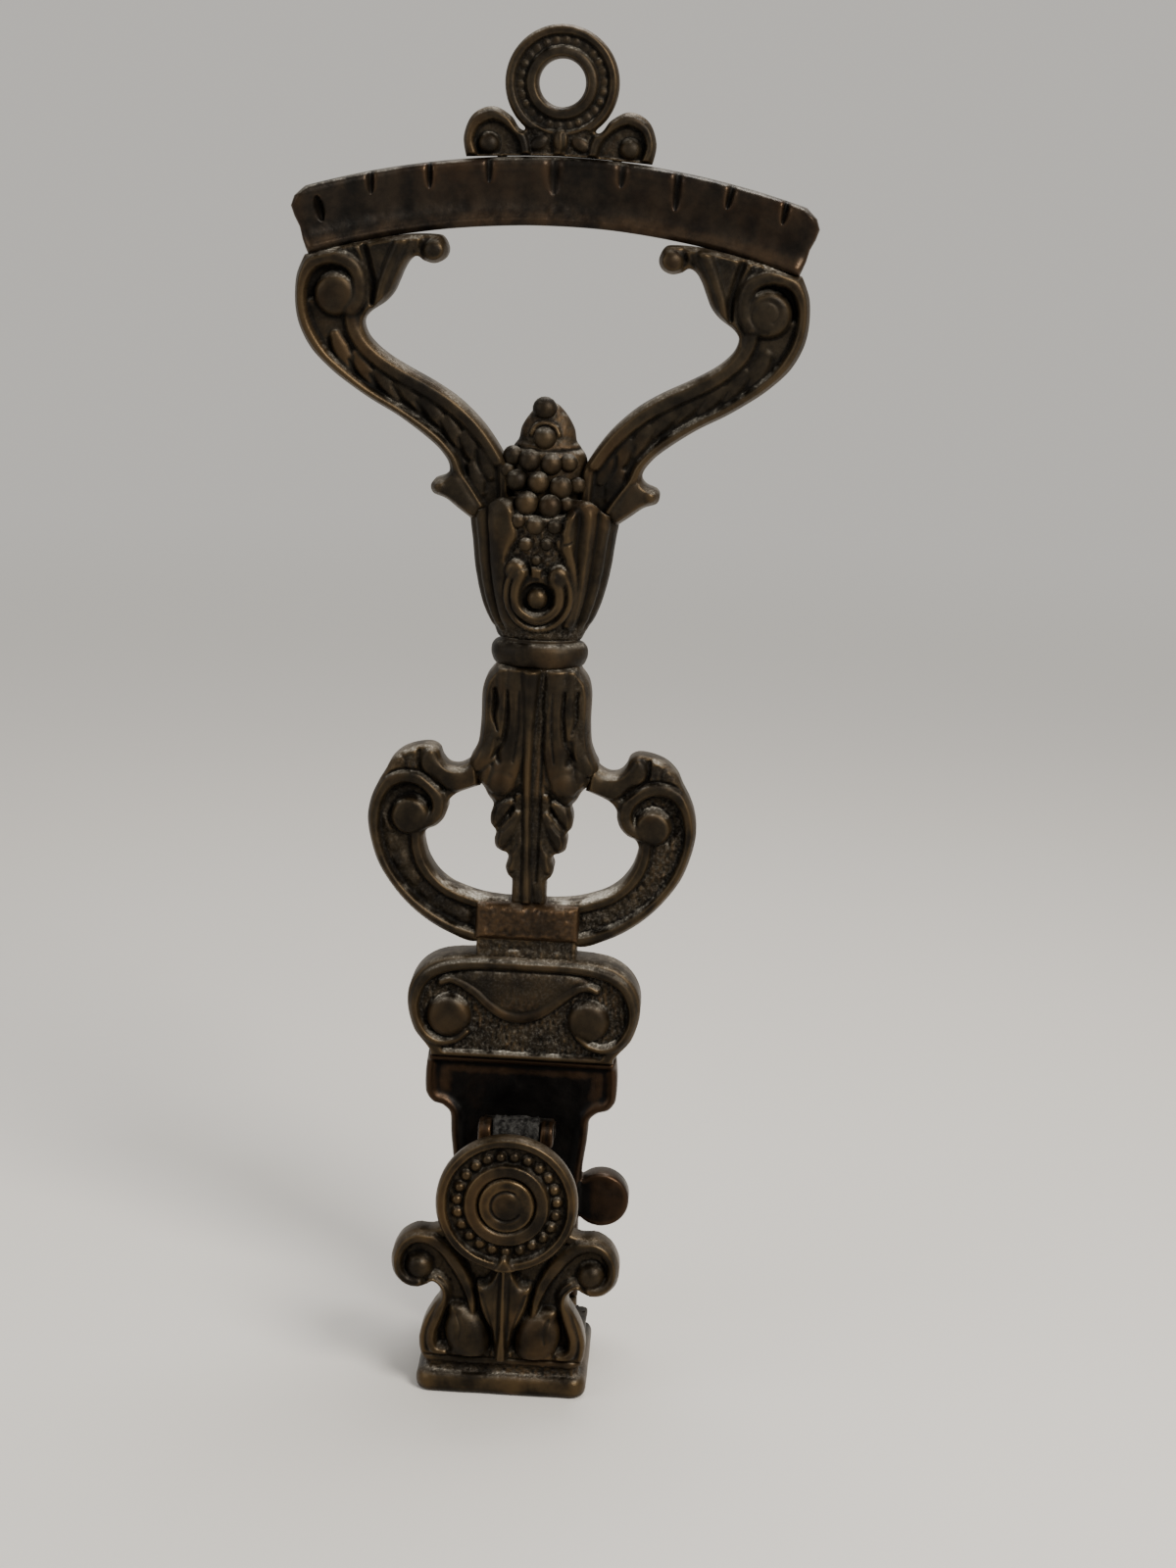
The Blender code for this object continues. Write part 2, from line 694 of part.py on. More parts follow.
def add_bores(parts):
    """The holes that the hidden fasteners pass through."""
    rod_ends = ((0, HANDLE_Y, TIE_ROD_LOW_Z - GAP), (0, HANDLE_Y, TIE_ROD_TOP_Z + GAP))
    stack = ("grape_finial", "vase_cup", "collar_ring", "leaf_stem", "scroll_band", "neck_block", "ionic_capital")
    for name in stack:
        bore(parts[name], *rod_ends, TIE_ROD_RADIUS)
    for side, word in ((-1, "left"), (1, "right")):
        x = side * CREST_SCREW_X
        for name in ("hanging_ring", "grip_bar"):
            bore(parts[name], (x, HANDLE_Y, 297 - GAP), (x, HANDLE_Y, 307.5 + GAP), 1.2)
        x = side * BAR_RIVET_X
        for name in (word + "_arm", "grip_bar"):
            bore(parts[name], (x, 12.7, 275 - GAP), (x, 12.7, 291 + GAP), 1.6)
        x = side * ARM_DOWEL_X
        for name in (word + "_arm", "vase_cup"):
            bore(parts[name], (x, HANDLE_Y - 0.3, 209 - GAP), (x, HANDLE_Y - 0.3, 224 + GAP), 1.5)
        for name in (word + "_c_scroll", "leaf_stem"):
            bore(parts[name], (side * (9 - GAP), HANDLE_Y, 151.4), (side * (20 + GAP), HANDLE_Y, 151.4), 1.2)
        x = side * 5.5
        for name in ("ionic_capital", "shank_plate"):
            bore(parts[name], (x, HANDLE_Y - 3 - GAP, 85), (x, HANDLE_Y + 20, 85), 1.5)
        x = side * 12.5
        for name in ("foot_base", "foot_cheek"):
            bore(parts[name], (x, -20.5, 1.2), (x, -20.5, 19 + GAP), 1.5)
    bore(parts["foot_cheek"], (0, -40, ROSETTE_Z), (0, 0, ROSETTE_Z), 2.0)


def fasteners():
    """The tie rod, pins, dowels and rivets, most of them hidden inside the castings."""
    pin("tie_rod", (0, HANDLE_Y, TIE_ROD_LOW_Z), (0, HANDLE_Y, TIE_ROD_TOP_Z), TIE_ROD_RADIUS)
    for side, word in ((-1, "left"), (1, "right")):
        x = side * CREST_SCREW_X
        pin(word + "_crest_pin", (x, HANDLE_Y, 297), (x, HANDLE_Y, 307.5), 1.2, 12)
        x = side * BAR_RIVET_X
        pin(word + "_bar_rivet", (x, 12.7, 275), (x, 12.7, 291), 1.6, 12)
        x = side * ARM_DOWEL_X
        pin(word + "_arm_dowel", (x, HANDLE_Y - 0.3, 209), (x, HANDLE_Y - 0.3, 224), 1.5, 12)
        pin(word + "_scroll_pin", (side * 9, HANDLE_Y, 151.4), (side * 20, HANDLE_Y, 151.4), 1.2, 12)
        x = side * 5.5
        pin(word + "_shank_rivet", (x, HANDLE_Y - 3, 85), (x, SHANK_BACK_Y + 0.2, 85), 1.5, 12)
        x = side * 12.5
        pin(word + "_cheek_dowel", (x, -20.5, 1.5), (x, -20.5, 19), 1.5, 12)
    pin("foot_hinge_pin", (-17.6, HINGE_Y, HINGE_Z), (17.6, HINGE_Y, HINGE_Z), HINGE_PIN_RADIUS)
    pin("worm_pin", (-10, WORM_Y, WORM_Z), (10, WORM_Y, WORM_Z), WORM_PIN_RADIUS, 16)


def hang_on_axis(name, x_y_z, children):
    """A parent empty on a hinge axis, so that the pieces turn about it."""
    empty = bpy.data.objects.new(name, None)
    empty.location = Vector(x_y_z) * MM
    PARTS.objects.link(empty)
    bpy.context.view_layer.update()
    for child in children:
        child.parent = empty
        child.matrix_parent_inverse = empty.matrix_world.inverted()


def build():
    parts = {
        "hanging_ring": crest(),
        "grip_bar": grip_bar(),
        "left_arm": arm("left_arm", -1),
        "right_arm": arm("right_arm", 1),
        "grape_finial": grape_finial(),
        "vase_cup": vase_cup(),
        "collar_ring": collar_ring(),
        "leaf_stem": leaf_stem(),
        "left_c_scroll": c_scroll("left_c_scroll", -1),
        "right_c_scroll": c_scroll("right_c_scroll", 1),
        "scroll_band": scroll_band(),
        "neck_block": neck_block(),
        "ionic_capital": ionic_capital(),
        "shank_plate": shank_plate(),
        "worm_clevis": worm_clevis(),
        "worm_barrel": worm_barrel(),
        "worm": worm(),
        "foot_base": foot_base(),
        "foot_cheek": foot_cheek(),
        "rosette": rosette(),
        "rosette_rivet": rosette_rivet(),
    }
    fasteners()
    add_bores(parts)
    foot = [parts[name] for name in ("foot_base", "foot_cheek", "rosette", "rosette_rivet")]
    foot += [bpy.data.objects[word + "_cheek_dowel"] for word in ("left", "right")]
    hang_on_axis("foot_hinge_axis", (0, HINGE_Y, HINGE_Z), foot)
    hang_on_axis("worm_hinge_axis", (0, WORM_Y, WORM_Z), [parts["worm_barrel"], parts["worm"]])


clear_scene()
PARTS = new_collection("lever_corkscrew")
CUTTERS = new_collection("cutters")
build()
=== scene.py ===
"""Looks of the cast-bronze lever corkscrew: sculpted relief on each casting, patina, light and camera.

Numbers are in millimetres unless a name says otherwise, and MM turns them into metres.
"""

import math

import bpy
import numpy as np
from mathutils import Matrix, Vector


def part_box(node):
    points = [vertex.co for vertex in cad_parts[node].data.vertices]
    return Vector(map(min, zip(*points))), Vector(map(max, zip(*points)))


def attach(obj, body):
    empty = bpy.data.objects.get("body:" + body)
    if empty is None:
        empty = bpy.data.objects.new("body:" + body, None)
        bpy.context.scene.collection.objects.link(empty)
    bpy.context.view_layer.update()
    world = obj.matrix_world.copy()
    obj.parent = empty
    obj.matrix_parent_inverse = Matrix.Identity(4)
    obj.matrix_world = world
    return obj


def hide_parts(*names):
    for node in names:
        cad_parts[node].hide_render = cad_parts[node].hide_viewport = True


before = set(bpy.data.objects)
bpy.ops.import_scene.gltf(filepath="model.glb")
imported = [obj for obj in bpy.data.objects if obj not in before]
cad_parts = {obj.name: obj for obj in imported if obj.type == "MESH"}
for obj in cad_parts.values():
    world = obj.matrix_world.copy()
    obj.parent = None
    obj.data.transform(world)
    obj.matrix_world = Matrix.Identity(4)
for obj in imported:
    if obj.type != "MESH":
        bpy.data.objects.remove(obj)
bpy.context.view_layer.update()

MM = 0.001
STEP = 0.34  # grid step of the sculpted castings
FILLET = 1.1  # rounding of a casting's edge
SOFTEN_ROUNDS = 2  # passes that blur a casting's relief
PROUD_ROUNDS = 9  # passes that find a piece's smooth ground, against which an edge stands proud
PROUD_REACH = 0.22  # how far an edge stands proud when it is fully worn, and how far a hollow sinks when its painted shade is full
RUBBED_FROM, RUBBED_TO = 0.62, 1.15  # wear at which the metal starts to show, and at which it shows fully; on the shank these rubbed places are painted highlights

# ---------------------------------------------------------------- places, from the frame


def node_box(name):
    low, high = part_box(name)
    return np.array(low) / MM, np.array(high) / MM


def middle(name, axis):
    low, high = node_box(name)
    return (low[axis] + high[axis]) / 2


HANDLE_Y = middle("neck_block", 1)
HANDLE_FRONT = HANDLE_Y - 4.0
HANDLE_BACK = HANDLE_Y + 4.0
CHEEK_BACK = node_box("foot_cheek")[1][1]
CHEEK_FRONT = CHEEK_BACK - 7.0
ROSETTE_Z = middle("rosette", 2)
HINGE_Y = middle("foot_hinge_pin", 1)
HINGE_Z = middle("foot_hinge_pin", 2)

# ---------------------------------------------------------------- curves and distances in the (x, z) plane


def curve(points, closed=False, per=7):
    """A smooth path through the points. A point with a third value is a sharp corner."""
    knots = np.array([p[:2] for p in points], float)
    sharp = np.array([len(p) > 2 for p in points])
    before = np.roll(knots, 1, axis=0)
    after = np.roll(knots, -1, axis=0)
    if not closed:
        before[0] = knots[0]
        after[-1] = knots[-1]
    reach = np.minimum(
        np.linalg.norm(after - knots, axis=1), np.linalg.norm(knots - before, axis=1)
    )
    if not closed:
        reach[0] = np.linalg.norm(after[0] - knots[0])
        reach[-1] = np.linalg.norm(knots[-1] - before[-1])
    tangent = after - before
    size = np.linalg.norm(tangent, axis=1)
    tangent = tangent / np.maximum(size, 1e-9)[:, None] * reach[:, None]
    tangent[sharp] = 0
    t = np.linspace(0, 1, per, endpoint=False)[:, None]
    made = []
    last = len(knots) if closed else len(knots) - 1
    for i in range(last):
        a, b = knots[i], knots[(i + 1) % len(knots)]
        ta, tb = tangent[i], tangent[(i + 1) % len(knots)]
        s = 3 * t**2 - 2 * t**3
        made.append(a * (1 - s) + b * s + ta * (t**3 - 2 * t**2 + t) + tb * (t**3 - t**2))
    if not closed:
        made.append(knots[-1:])
    return np.concatenate(made)


def arc(centre, radius, start, end, count=24, end_radius=None):
    """Part of a circle, or of a spiral where end_radius is given. Angles are in degrees."""
    turn = np.radians(np.linspace(start, end, count))
    size = np.linspace(radius, radius if end_radius is None else end_radius, count)
    return np.stack([centre[0] + size * np.cos(turn), centre[1] + size * np.sin(turn)], axis=1)


def nearest(p, path, closed=False):
    """Distance from each point to a path, and how far along the path that is, from 0 to 1."""
    a = path if closed else path[:-1]
    b = np.roll(path, -1, axis=0) if closed else path[1:]
    run = b - a
    length = np.maximum(np.linalg.norm(run, axis=1), 1e-9)
    start = np.concatenate([[0], np.cumsum(length)[:-1]])
    best = np.empty(len(p))
    along = np.empty(len(p))
    for i in range(0, len(p), 4000):
        q = p[i : i + 4000, None, :]
        t = np.clip(((q - a) * run).sum(axis=2) / length**2, 0, 1)
        gap = np.linalg.norm(q - (a + run * t[..., None]), axis=2)
        k = gap.argmin(axis=1)
        rows = np.arange(len(k))
        best[i : i + 4000] = gap[rows, k]
        along[i : i + 4000] = (start[k] + t[rows, k] * length[k]) / length.sum()
    return best, along


def inside(p, path):
    """Even-odd test of points in a closed path."""
    x, z = p[:, :1], p[:, 1:]
    ax, az = path[:, 0], path[:, 1]
    bx, bz = np.roll(ax, -1), np.roll(az, -1)
    crosses = (az > z) != (bz > z)
    slope = np.where(np.abs(bz - az) < 1e-12, 1e-12, bz - az)
    return (crosses & (x < ax + (z - az) / slope * (bx - ax))).sum(axis=1) % 2 == 1


def region(points, per=7):
    """Signed distance to a closed outline: negative inside."""
    path = curve(points, True, per)

    low, high = path.min(axis=0) - 4, path.max(axis=0) + 4

    def distance(p):
        d = np.full(len(p), 9.0)
        some = np.nonzero(((p > low) & (p < high)).all(axis=1))[0]
        if len(some):
            gap, _ = nearest(p[some], path, True)
            d[some] = np.where(inside(p[some], path), -gap, gap)
        return d

    return distance


def disc(centre, radius):
    return lambda p: np.hypot(p[:, 0] - centre[0], p[:, 1] - centre[1]) - radius


def joined(*shapes, blend=0.8):
    """Union with a small cast fillet."""

    def distance(p):
        d = shapes[0](p)
        for shape in shapes[1:]:
            other = shape(p)
            share = np.clip(0.5 + 0.5 * (other - d) / blend, 0, 1)
            d = other * (1 - share) + d * share - blend * share * (1 - share)
        return d

    return distance


def minus(shape, hole):
    return lambda p: np.maximum(shape(p), -hole(p))


def soft(x, low, high):
    t = np.clip((x - low) / (high - low), 0, 1)
    return t * t * (3 - 2 * t)


def symmetric(half):
    """A whole outline from its right half, from the top middle down to the bottom middle."""
    left = [(-q[0], *q[1:]) for q in reversed(half) if q[0] > 0]
    return half + left


# ---------------------------------------------------------------- sculpting


def lumps(q, seed):
    """Smooth random values from -1 to 1 over points, with a lump about every unit."""
    values = np.random.default_rng(seed).uniform(-1, 1, (97, 89))
    i = np.floor(q).astype(int)
    f = q - i
    f = f * f * (3 - 2 * f)
    at = lambda a, b: values[(i[:, 0] + a) % 97, (i[:, 1] + b) % 89]
    low = at(0, 0) * (1 - f[:, 0]) + at(1, 0) * f[:, 0]
    high = at(0, 1) * (1 - f[:, 0]) + at(1, 1) * f[:, 0]
    return low * (1 - f[:, 1]) + high * f[:, 1]


class Canvas:
    """Relief height over points of the (x, z) plane, where it is grained, and where it is rubbed, which on the shank
    stands for painted highlights.
    """

    def __init__(self, p):
        self.p = p
        self.h = np.zeros(len(p))
        self.grain = np.zeros(len(p))
        self.rub_and_highlight = np.zeros(len(p))

    def lift(self, value, where):
        """Raises the relief to value, with a small cast fillet where the two meet."""
        meet = 0.3
        high = np.maximum(self.h, value)
        high += np.clip(1 - np.abs(self.h - value) / meet, 0, 1) ** 2 * meet / 4
        self.h = np.where(where, high, self.h)

    def close_to(self, path, reach):
        """Distance to a path, and place along it, for the points within reach of its box; others stay far."""
        path = np.asarray(path, float)
        low, high = path.min(axis=0) - reach, path.max(axis=0) + reach
        some = np.nonzero(((self.p > low) & (self.p < high)).all(axis=1))[0]
        d, t = np.full(len(self.p), 99.0), np.zeros(len(self.p))
        if len(some):
            d[some], t[some] = nearest(self.p[some], path)
        return d, t

    def rope(self, path, width, height, base=0.0, taper=(1.0, 1.0), square=2.0):
        """A rounded ridge along a path. taper scales it along the way, and square flattens its top."""
        d, t = self.close_to(path, width * max(taper))
        size = np.interp(t, np.linspace(0, 1, len(taper)), taper)
        w = width * size
        up = np.clip(1 - (d / w) ** square, 0, 1) ** (1 / square) * height * (0.4 + 0.6 * size)
        over = d < w
        self.lift(base + up, over)
        self.grain = np.where(over & (up > 0.35 * height), 0, self.grain)

    def dome(self, centre, radius, height, base=0.0, stretch=1.0, turn=0.0):
        """A rounded boss, longer than wide where stretch is over 1, tilted by turn degrees."""
        x = self.p[:, 0] - centre[0]
        z = self.p[:, 1] - centre[1]
        c, s = math.cos(math.radians(turn)), math.sin(math.radians(turn))
        r = np.hypot((c * x + s * z) / radius, (-s * x + c * z) / (radius * stretch))
        up = np.sqrt(np.clip(1 - r**2, 0, 1)) * height
        self.lift(base + up, r < 1)
        self.grain = np.where(r < 1, 0, self.grain)

    def pillow(self, shape, height, round_over=2.0, base=0.0, grain=0.0):
        """A swelling over a region, rounded off towards its edge."""
        inward = np.clip(-shape(self.p), 0, round_over) / round_over
        up = height * np.sqrt(1 - (1 - inward) ** 2)
        over = inward > 0
        self.lift(base + up, over)
        self.grain = np.where(over, grain, self.grain)

    def button(self, centre, radius, height, edge=0.9, base=0.0, crown=0.25):
        """A flat-topped boss with a rounded edge."""
        r = np.hypot(self.p[:, 0] - centre[0], self.p[:, 1] - centre[1])
        up = height * np.sqrt(np.clip(1 - np.clip((r - radius + edge) / edge, 0, 1) ** 2, 0, 1))
        up += crown * np.clip(1 - (r / radius) ** 2, 0, 1)
        over = r < radius
        self.lift(base + up, over)
        self.grain = np.where(over, 0, self.grain)

    def cut(self, path, width, depth, taper=(1.0, 1.0)):
        """A groove along a path."""
        d, t = self.close_to(path, 2.6 * width * max(taper))
        w = width * np.interp(t, np.linspace(0, 1, len(taper)), taper)
        self.h -= depth * np.exp(-((d / np.maximum(w, 0.05)) ** 2))

    def sunk(self, shape, depth, edge=0.8, grain=0.0):
        """A hollow over a region."""
        share = soft(-shape(self.p), -edge / 2, edge / 2)
        self.h = self.h - depth * share
        self.grain = np.maximum(self.grain, grain * share)

    def uneven(self, size=0.1, wave=7.0, seed=1):
        """The slow unevenness of a sand casting."""
        self.h += size * (lumps(self.p / (wave / 2), seed) + 0.5 * lumps(self.p / (wave / 4.7), seed + 50))

    def tooled(self, amount=0.2, cell=0.8, seed=2, tall=1.5):
        """Irregular pits and lumps where the ground is grained, longer upwards where tall is over 1."""
        for octave in (1.0, 0.5):
            rough = lumps(self.p / [cell * octave, cell * octave * tall], seed + round(10 * octave))
            self.h += self.grain * amount * octave**0.5 * rough


class Plate(Canvas):
    """A flat casting cut out of the (x, z) plane by a signed distance, to be sculpted on its front."""

    def __init__(self, edge, low, high, step=STEP, fillet=FILLET):
        nx = int((high[0] - low[0]) / step) + 3
        nz = int((high[1] - low[1]) / step) + 3
        gx = low[0] - step + step * np.arange(nx)
        gz = low[1] - step + step * np.arange(nz)
        grid = np.stack(np.meshgrid(gx, gz, indexing="ij"), axis=2).reshape(-1, 2)
        d = edge(grid)
        core = (d < -0.35 * step).reshape(nx, nz)
        cell = core[:-1, :-1] | core[1:, :-1] | core[:-1, 1:] | core[1:, 1:]
        index = np.arange(nx * nz).reshape(nx, nz)
        i, j = np.nonzero(cell)
        quads = np.stack([index[i, j], index[i + 1, j], index[i + 1, j + 1], index[i, j + 1]], axis=1)
        used, flat = np.unique(quads, return_inverse=True)
        self.quads = flat.reshape(-1, 4)
        p = grid[used]
        loose = np.nonzero(~core.reshape(-1)[used])[0]
        q = p[loose]
        for _ in range(4):
            here = edge(q)
            tiny = 0.02
            slope_x = (edge(q + [tiny, 0]) - edge(q - [tiny, 0])) / (2 * tiny)
            slope_z = (edge(q + [0, tiny]) - edge(q - [0, tiny])) / (2 * tiny)
            steep = np.maximum(slope_x**2 + slope_z**2, 0.25)
            q = q - np.stack([slope_x, slope_z], axis=1) * (here / steep)[:, None] * 0.9
        p[loose] = q
        super().__init__(p)
        self.deep = np.maximum(-edge(p), 0)
        self.deep[loose] = 0
        self.fillet = fillet
        sides = np.concatenate([self.quads[:, [k, (k + 1) % 4]] for k in range(4)])
        key = np.sort(sides, axis=1)
        _, first, count = np.unique(key, axis=0, return_index=True, return_counts=True)
        self.rim = sides[first[count == 1]]

    def edge_rope(self, inset, width, height, base=0.0, where=None):
        """A rim that follows the casting's own outline."""
        d = np.abs(self.deep - inset)
        up = np.sqrt(np.clip(1 - (d / width) ** 2, 0, 1)) * height
        over = (d < width) if where is None else (d < width) & where(self.p)
        self.lift(base + up, over)
        self.grain = np.where(over & (up > 0.35 * height), 0, self.grain)

    def soften(self):
        """Blurs the relief as wear does."""
        a, b = np.concatenate([self.quads[:, [k, (k + 1) % 4]] for k in range(4)]).T
        count = len(self.p)
        near = np.maximum(np.bincount(a, minlength=count) + np.bincount(b, minlength=count), 1)
        for _ in range(SOFTEN_ROUNDS):
            total = np.bincount(a, self.h[b], count) + np.bincount(b, self.h[a], count)
            self.h = 0.5 * self.h + 0.5 * total / near

    def channel(self, inset, depth, edge=0.8, grain=0.0, where=None):
        """Sinks everything further in than inset."""
        share = soft(self.deep, inset, inset + edge)
        if where is not None:
            share = share * where(self.p)
        self.h -= depth * share
        self.grain = np.maximum(self.grain, grain * share)

    def build(self, name, front, back, body, slot, replaced, lean=None, mirror=False, look="bronze"):
        """The closed casting between its front and back faces."""
        self.soften()
        f = self.fillet
        drop = f - np.sqrt(np.clip(f * f - np.clip(f - self.deep, 0, f) ** 2, 0, None))
        edge_share = soft(self.deep, 0, f)
        y_front = front + drop - self.h * edge_share
        y_back = back - drop + 0 * self.h
        n = len(self.p)
        x, z = self.p[:, 0], self.p[:, 1]
        points = np.concatenate(
            [np.stack([x, y_front, z], axis=1), np.stack([x, y_back, z], axis=1)]
        )
        if lean is not None:
            points[:, 1] -= lean(points[:, 0], points[:, 2])
        a, b = self.rim[:, 0], self.rim[:, 1]
        wall = np.stack([b, a, a + n, b + n], axis=1)
        faces = np.concatenate([self.quads, self.quads[:, ::-1] + n, wall])
        if mirror:
            points[:, 0] *= -1
            faces = faces[:, ::-1]
        twice = lambda v: np.concatenate([v, 0 * v])
        piece = mesh_piece(name, points, faces, look, twice(self.grain), twice(self.rub_and_highlight))
        settle(piece, body, replaced)
        return piece


def mesh_piece(name, points, faces, look, grain=None, rub_and_highlight=None):
    """A smooth mesh object from arrays in millimetres, aged, with its material."""
    mesh = bpy.data.meshes.new(name)
    mesh.vertices.add(len(points))
    mesh.vertices.foreach_set("co", (np.asarray(points) * MM).ravel())
    mesh.loops.add(faces.size)
    mesh.loops.foreach_set("vertex_index", faces.ravel())
    mesh.polygons.add(len(faces))
    mesh.polygons.foreach_set("loop_start", np.arange(0, faces.size, 4))
    mesh.update(calc_edges=True)
    mesh.validate()
    mesh.shade_smooth()
    store(mesh, "grain", grain)
    store(mesh, "rub_and_highlight", rub_and_highlight)
    age(mesh)
    thing = bpy.data.objects.new(name, mesh)
    bpy.context.scene.collection.objects.link(thing)
    mesh.materials.append(LOOKS[look])
    return thing


def store(mesh, name, values):
    field = mesh.attributes.new(name, "FLOAT", "POINT")
    if values is not None and len(values) == len(mesh.vertices):
        field.data.foreach_set("value", np.asarray(values, np.float32))


def age(mesh):
    """Stores how far each point stands proud of its surroundings: 1 on worn edges, 0 in the hollows, which the
    material darkens as painted shade.
    """
    count = len(mesh.vertices)
    place = np.empty(count * 3, np.float32)
    mesh.vertices.foreach_get("co", place)
    place = place.reshape(-1, 3) / MM
    normal = np.empty(count * 3, np.float32)
    mesh.vertex_normals.foreach_get("vector", normal)
    normal = normal.reshape(-1, 3)
    edges = np.empty(len(mesh.edges) * 2, np.int32)
    mesh.edges.foreach_get("vertices", edges)
    a, b = edges.reshape(-1, 2).T
    near = np.maximum(np.bincount(a, minlength=count) + np.bincount(b, minlength=count), 1)
    smooth = place.astype(float)
    for _ in range(PROUD_ROUNDS):
        total = np.empty_like(smooth)
        for k in range(3):
            total[:, k] = np.bincount(a, smooth[b, k], count) + np.bincount(b, smooth[a, k], count)
        smooth = 0.4 * smooth + 0.6 * total / near[:, None]
    proud = ((place - smooth) * normal).sum(axis=1)
    store(mesh, "wear_and_shade", np.clip(0.5 + proud / (2 * PROUD_REACH), 0, 1))
    store(mesh, "up", np.clip(normal[:, 2], 0, 1))


def settle(piece, body, replaced):
    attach(piece, body)
    if replaced:
        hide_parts(*replaced)


def surface(name, grid, body, replaced, look="bronze", grain=None, rub_and_highlight=None):
    """A closed mesh from a grid of points (rows, columns, 3): rings with a cap at each end."""
    rows, columns = grid.shape[:2]
    index = np.arange(rows * columns).reshape(rows, columns)
    index = np.concatenate([index, index[:, :1]], axis=1)
    corners = [index[:-1, :-1], index[:-1, 1:], index[1:, 1:], index[1:, :-1]]
    faces = np.stack(corners, axis=2).reshape(-1, 4)
    points = np.concatenate([grid.reshape(-1, 3), [grid[0].mean(axis=0), grid[-1].mean(axis=0)]])
    low_cap, high_cap = (np.full(columns, rows * columns + k) for k in (0, 1))
    extra = [
        np.stack([index[0, 1:], index[0, :-1], low_cap], axis=1),
        np.stack([index[-1, :-1], index[-1, 1:], high_cap], axis=1),
    ]
    pad = lambda v: None if v is None else np.concatenate([v.ravel(), [0, 0]])
    piece = grid_piece(name, points, faces, extra, look, pad(grain), pad(rub_and_highlight))
    settle(piece, body, replaced)
    return piece


def grid_piece(name, points, faces, fans, look, grain, rub_and_highlight):
    """A mesh of quads and of fans of triangles."""
    every = faces.tolist()
    for fan in fans:
        every += fan.tolist()
    mesh = bpy.data.meshes.new(name)
    mesh.from_pydata((np.asarray(points) * MM).tolist(), [], every)
    mesh.validate()
    mesh.shade_smooth()
    store(mesh, "grain", grain)
    store(mesh, "rub_and_highlight", rub_and_highlight)
    age(mesh)
    thing = bpy.data.objects.new(name, mesh)
    bpy.context.scene.collection.objects.link(thing)
    mesh.materials.append(LOOKS[look])
    return thing


def balls(name, places, body, replaced=(), look="bronze", squash=1.0):
    """Beads or grapes: one mesh of small spheres, each given as (x, y, z, radius)."""
    rows, columns = 9, 14
    polar = np.linspace(0, math.pi, rows + 1)[1:-1]
    turn = np.linspace(0, 2 * math.pi, columns, endpoint=False)
    unit = [(math.sin(a) * math.cos(t), math.sin(a) * math.sin(t), math.cos(a)) for a in polar for t in turn]
    unit = np.array(unit + [(0, 0, 1), (0, 0, -1)])
    quads, top, low = [], len(unit) - 2, len(unit) - 1
    for r in range(rows - 2):
        for c in range(columns):
            d = (c + 1) % columns
            quads.append((r * columns + c, (r + 1) * columns + c, (r + 1) * columns + d, r * columns + d))
    last = (rows - 2) * columns
    for c in range(columns):
        d = (c + 1) % columns
        quads.append((top, c, d))
        quads.append((low, last + d, last + c))
    points, faces = [], []
    for x, y, z, radius in places:
        start = len(points) * len(unit)
        points.append(unit * radius * [1, squash, 1] + [x, y, z])
        faces += [tuple(i + start for i in f) for f in quads]
    mesh = bpy.data.meshes.new(name)
    mesh.from_pydata((np.concatenate(points) * MM).tolist(), [], faces)
    mesh.shade_smooth()
    store(mesh, "grain", None)
    store(mesh, "rub_and_highlight", np.full(len(mesh.vertices), 0.55))
    place = np.concatenate(points)
    centres = np.repeat(np.array([q[:3] for q in places]), len(unit), axis=0)
    # the fronts of the beads count as worn; their backs, towards the casting, fall low enough to get the material's
    # painted shade
    forward = -(place - centres)[:, 1] / np.repeat(np.array([q[3] for q in places]), len(unit))
    store(mesh, "wear_and_shade", np.clip(0.4 + 0.16 * forward, 0, 1))
    store(mesh, "up", np.clip((place - centres)[:, 2] / np.repeat([q[3] for q in places], len(unit)), 0, 1))
    thing = bpy.data.objects.new(name, mesh)
    bpy.context.scene.collection.objects.link(thing)
    mesh.materials.append(LOOKS[look])
    settle(thing, body, replaced)
    return thing


# ---------------------------------------------------------------- materials

PALE = (0.60, 0.575, 0.535)
SHADE_BLACK = (0.002, 0.0018, 0.0017)
DUST = (0.40, 0.375, 0.325)


def nodes_of(name):
    made = bpy.data.materials.new(name)
    made.use_nodes = True
    tree = made.node_tree
    return made, tree, tree.nodes["Principled BSDF"]


def mix(tree, share, a, b):
    """A colour between a and b, each a colour or a socket."""
    node = tree.nodes.new("ShaderNodeMix")
    node.data_type = "RGBA"
    for socket, value in (("Factor", share), ("A", a), ("B", b)):
        entry = next(i for i in node.inputs if i.name == socket and (socket == "Factor" or i.type == "RGBA"))
        if isinstance(value, bpy.types.NodeSocket):
            tree.links.new(value, entry)
        elif isinstance(value, tuple):
            entry.default_value = (*value, 1)
        else:
            entry.default_value = value
    return next(o for o in node.outputs if o.type == "RGBA")


def maths(tree, operation, a, b=0.0, c=None, clamp=False):
    node = tree.nodes.new("ShaderNodeMath")
    node.operation = operation
    node.use_clamp = clamp
    for i, value in enumerate((a, b, c)):
        if isinstance(value, bpy.types.NodeSocket):
            tree.links.new(value, node.inputs[i])
        elif value is not None:
            node.inputs[i].default_value = value
    return node.outputs[0]


def ramp(tree, value, low, high):
    """0 below low, 1 above high, smooth between."""
    node = tree.nodes.new("ShaderNodeMapRange")
    node.interpolation_type = "SMOOTHSTEP"
    tree.links.new(value, node.inputs["Value"])
    node.inputs["From Min"].default_value = low
    node.inputs["From Max"].default_value = high
    return node.outputs["Result"]


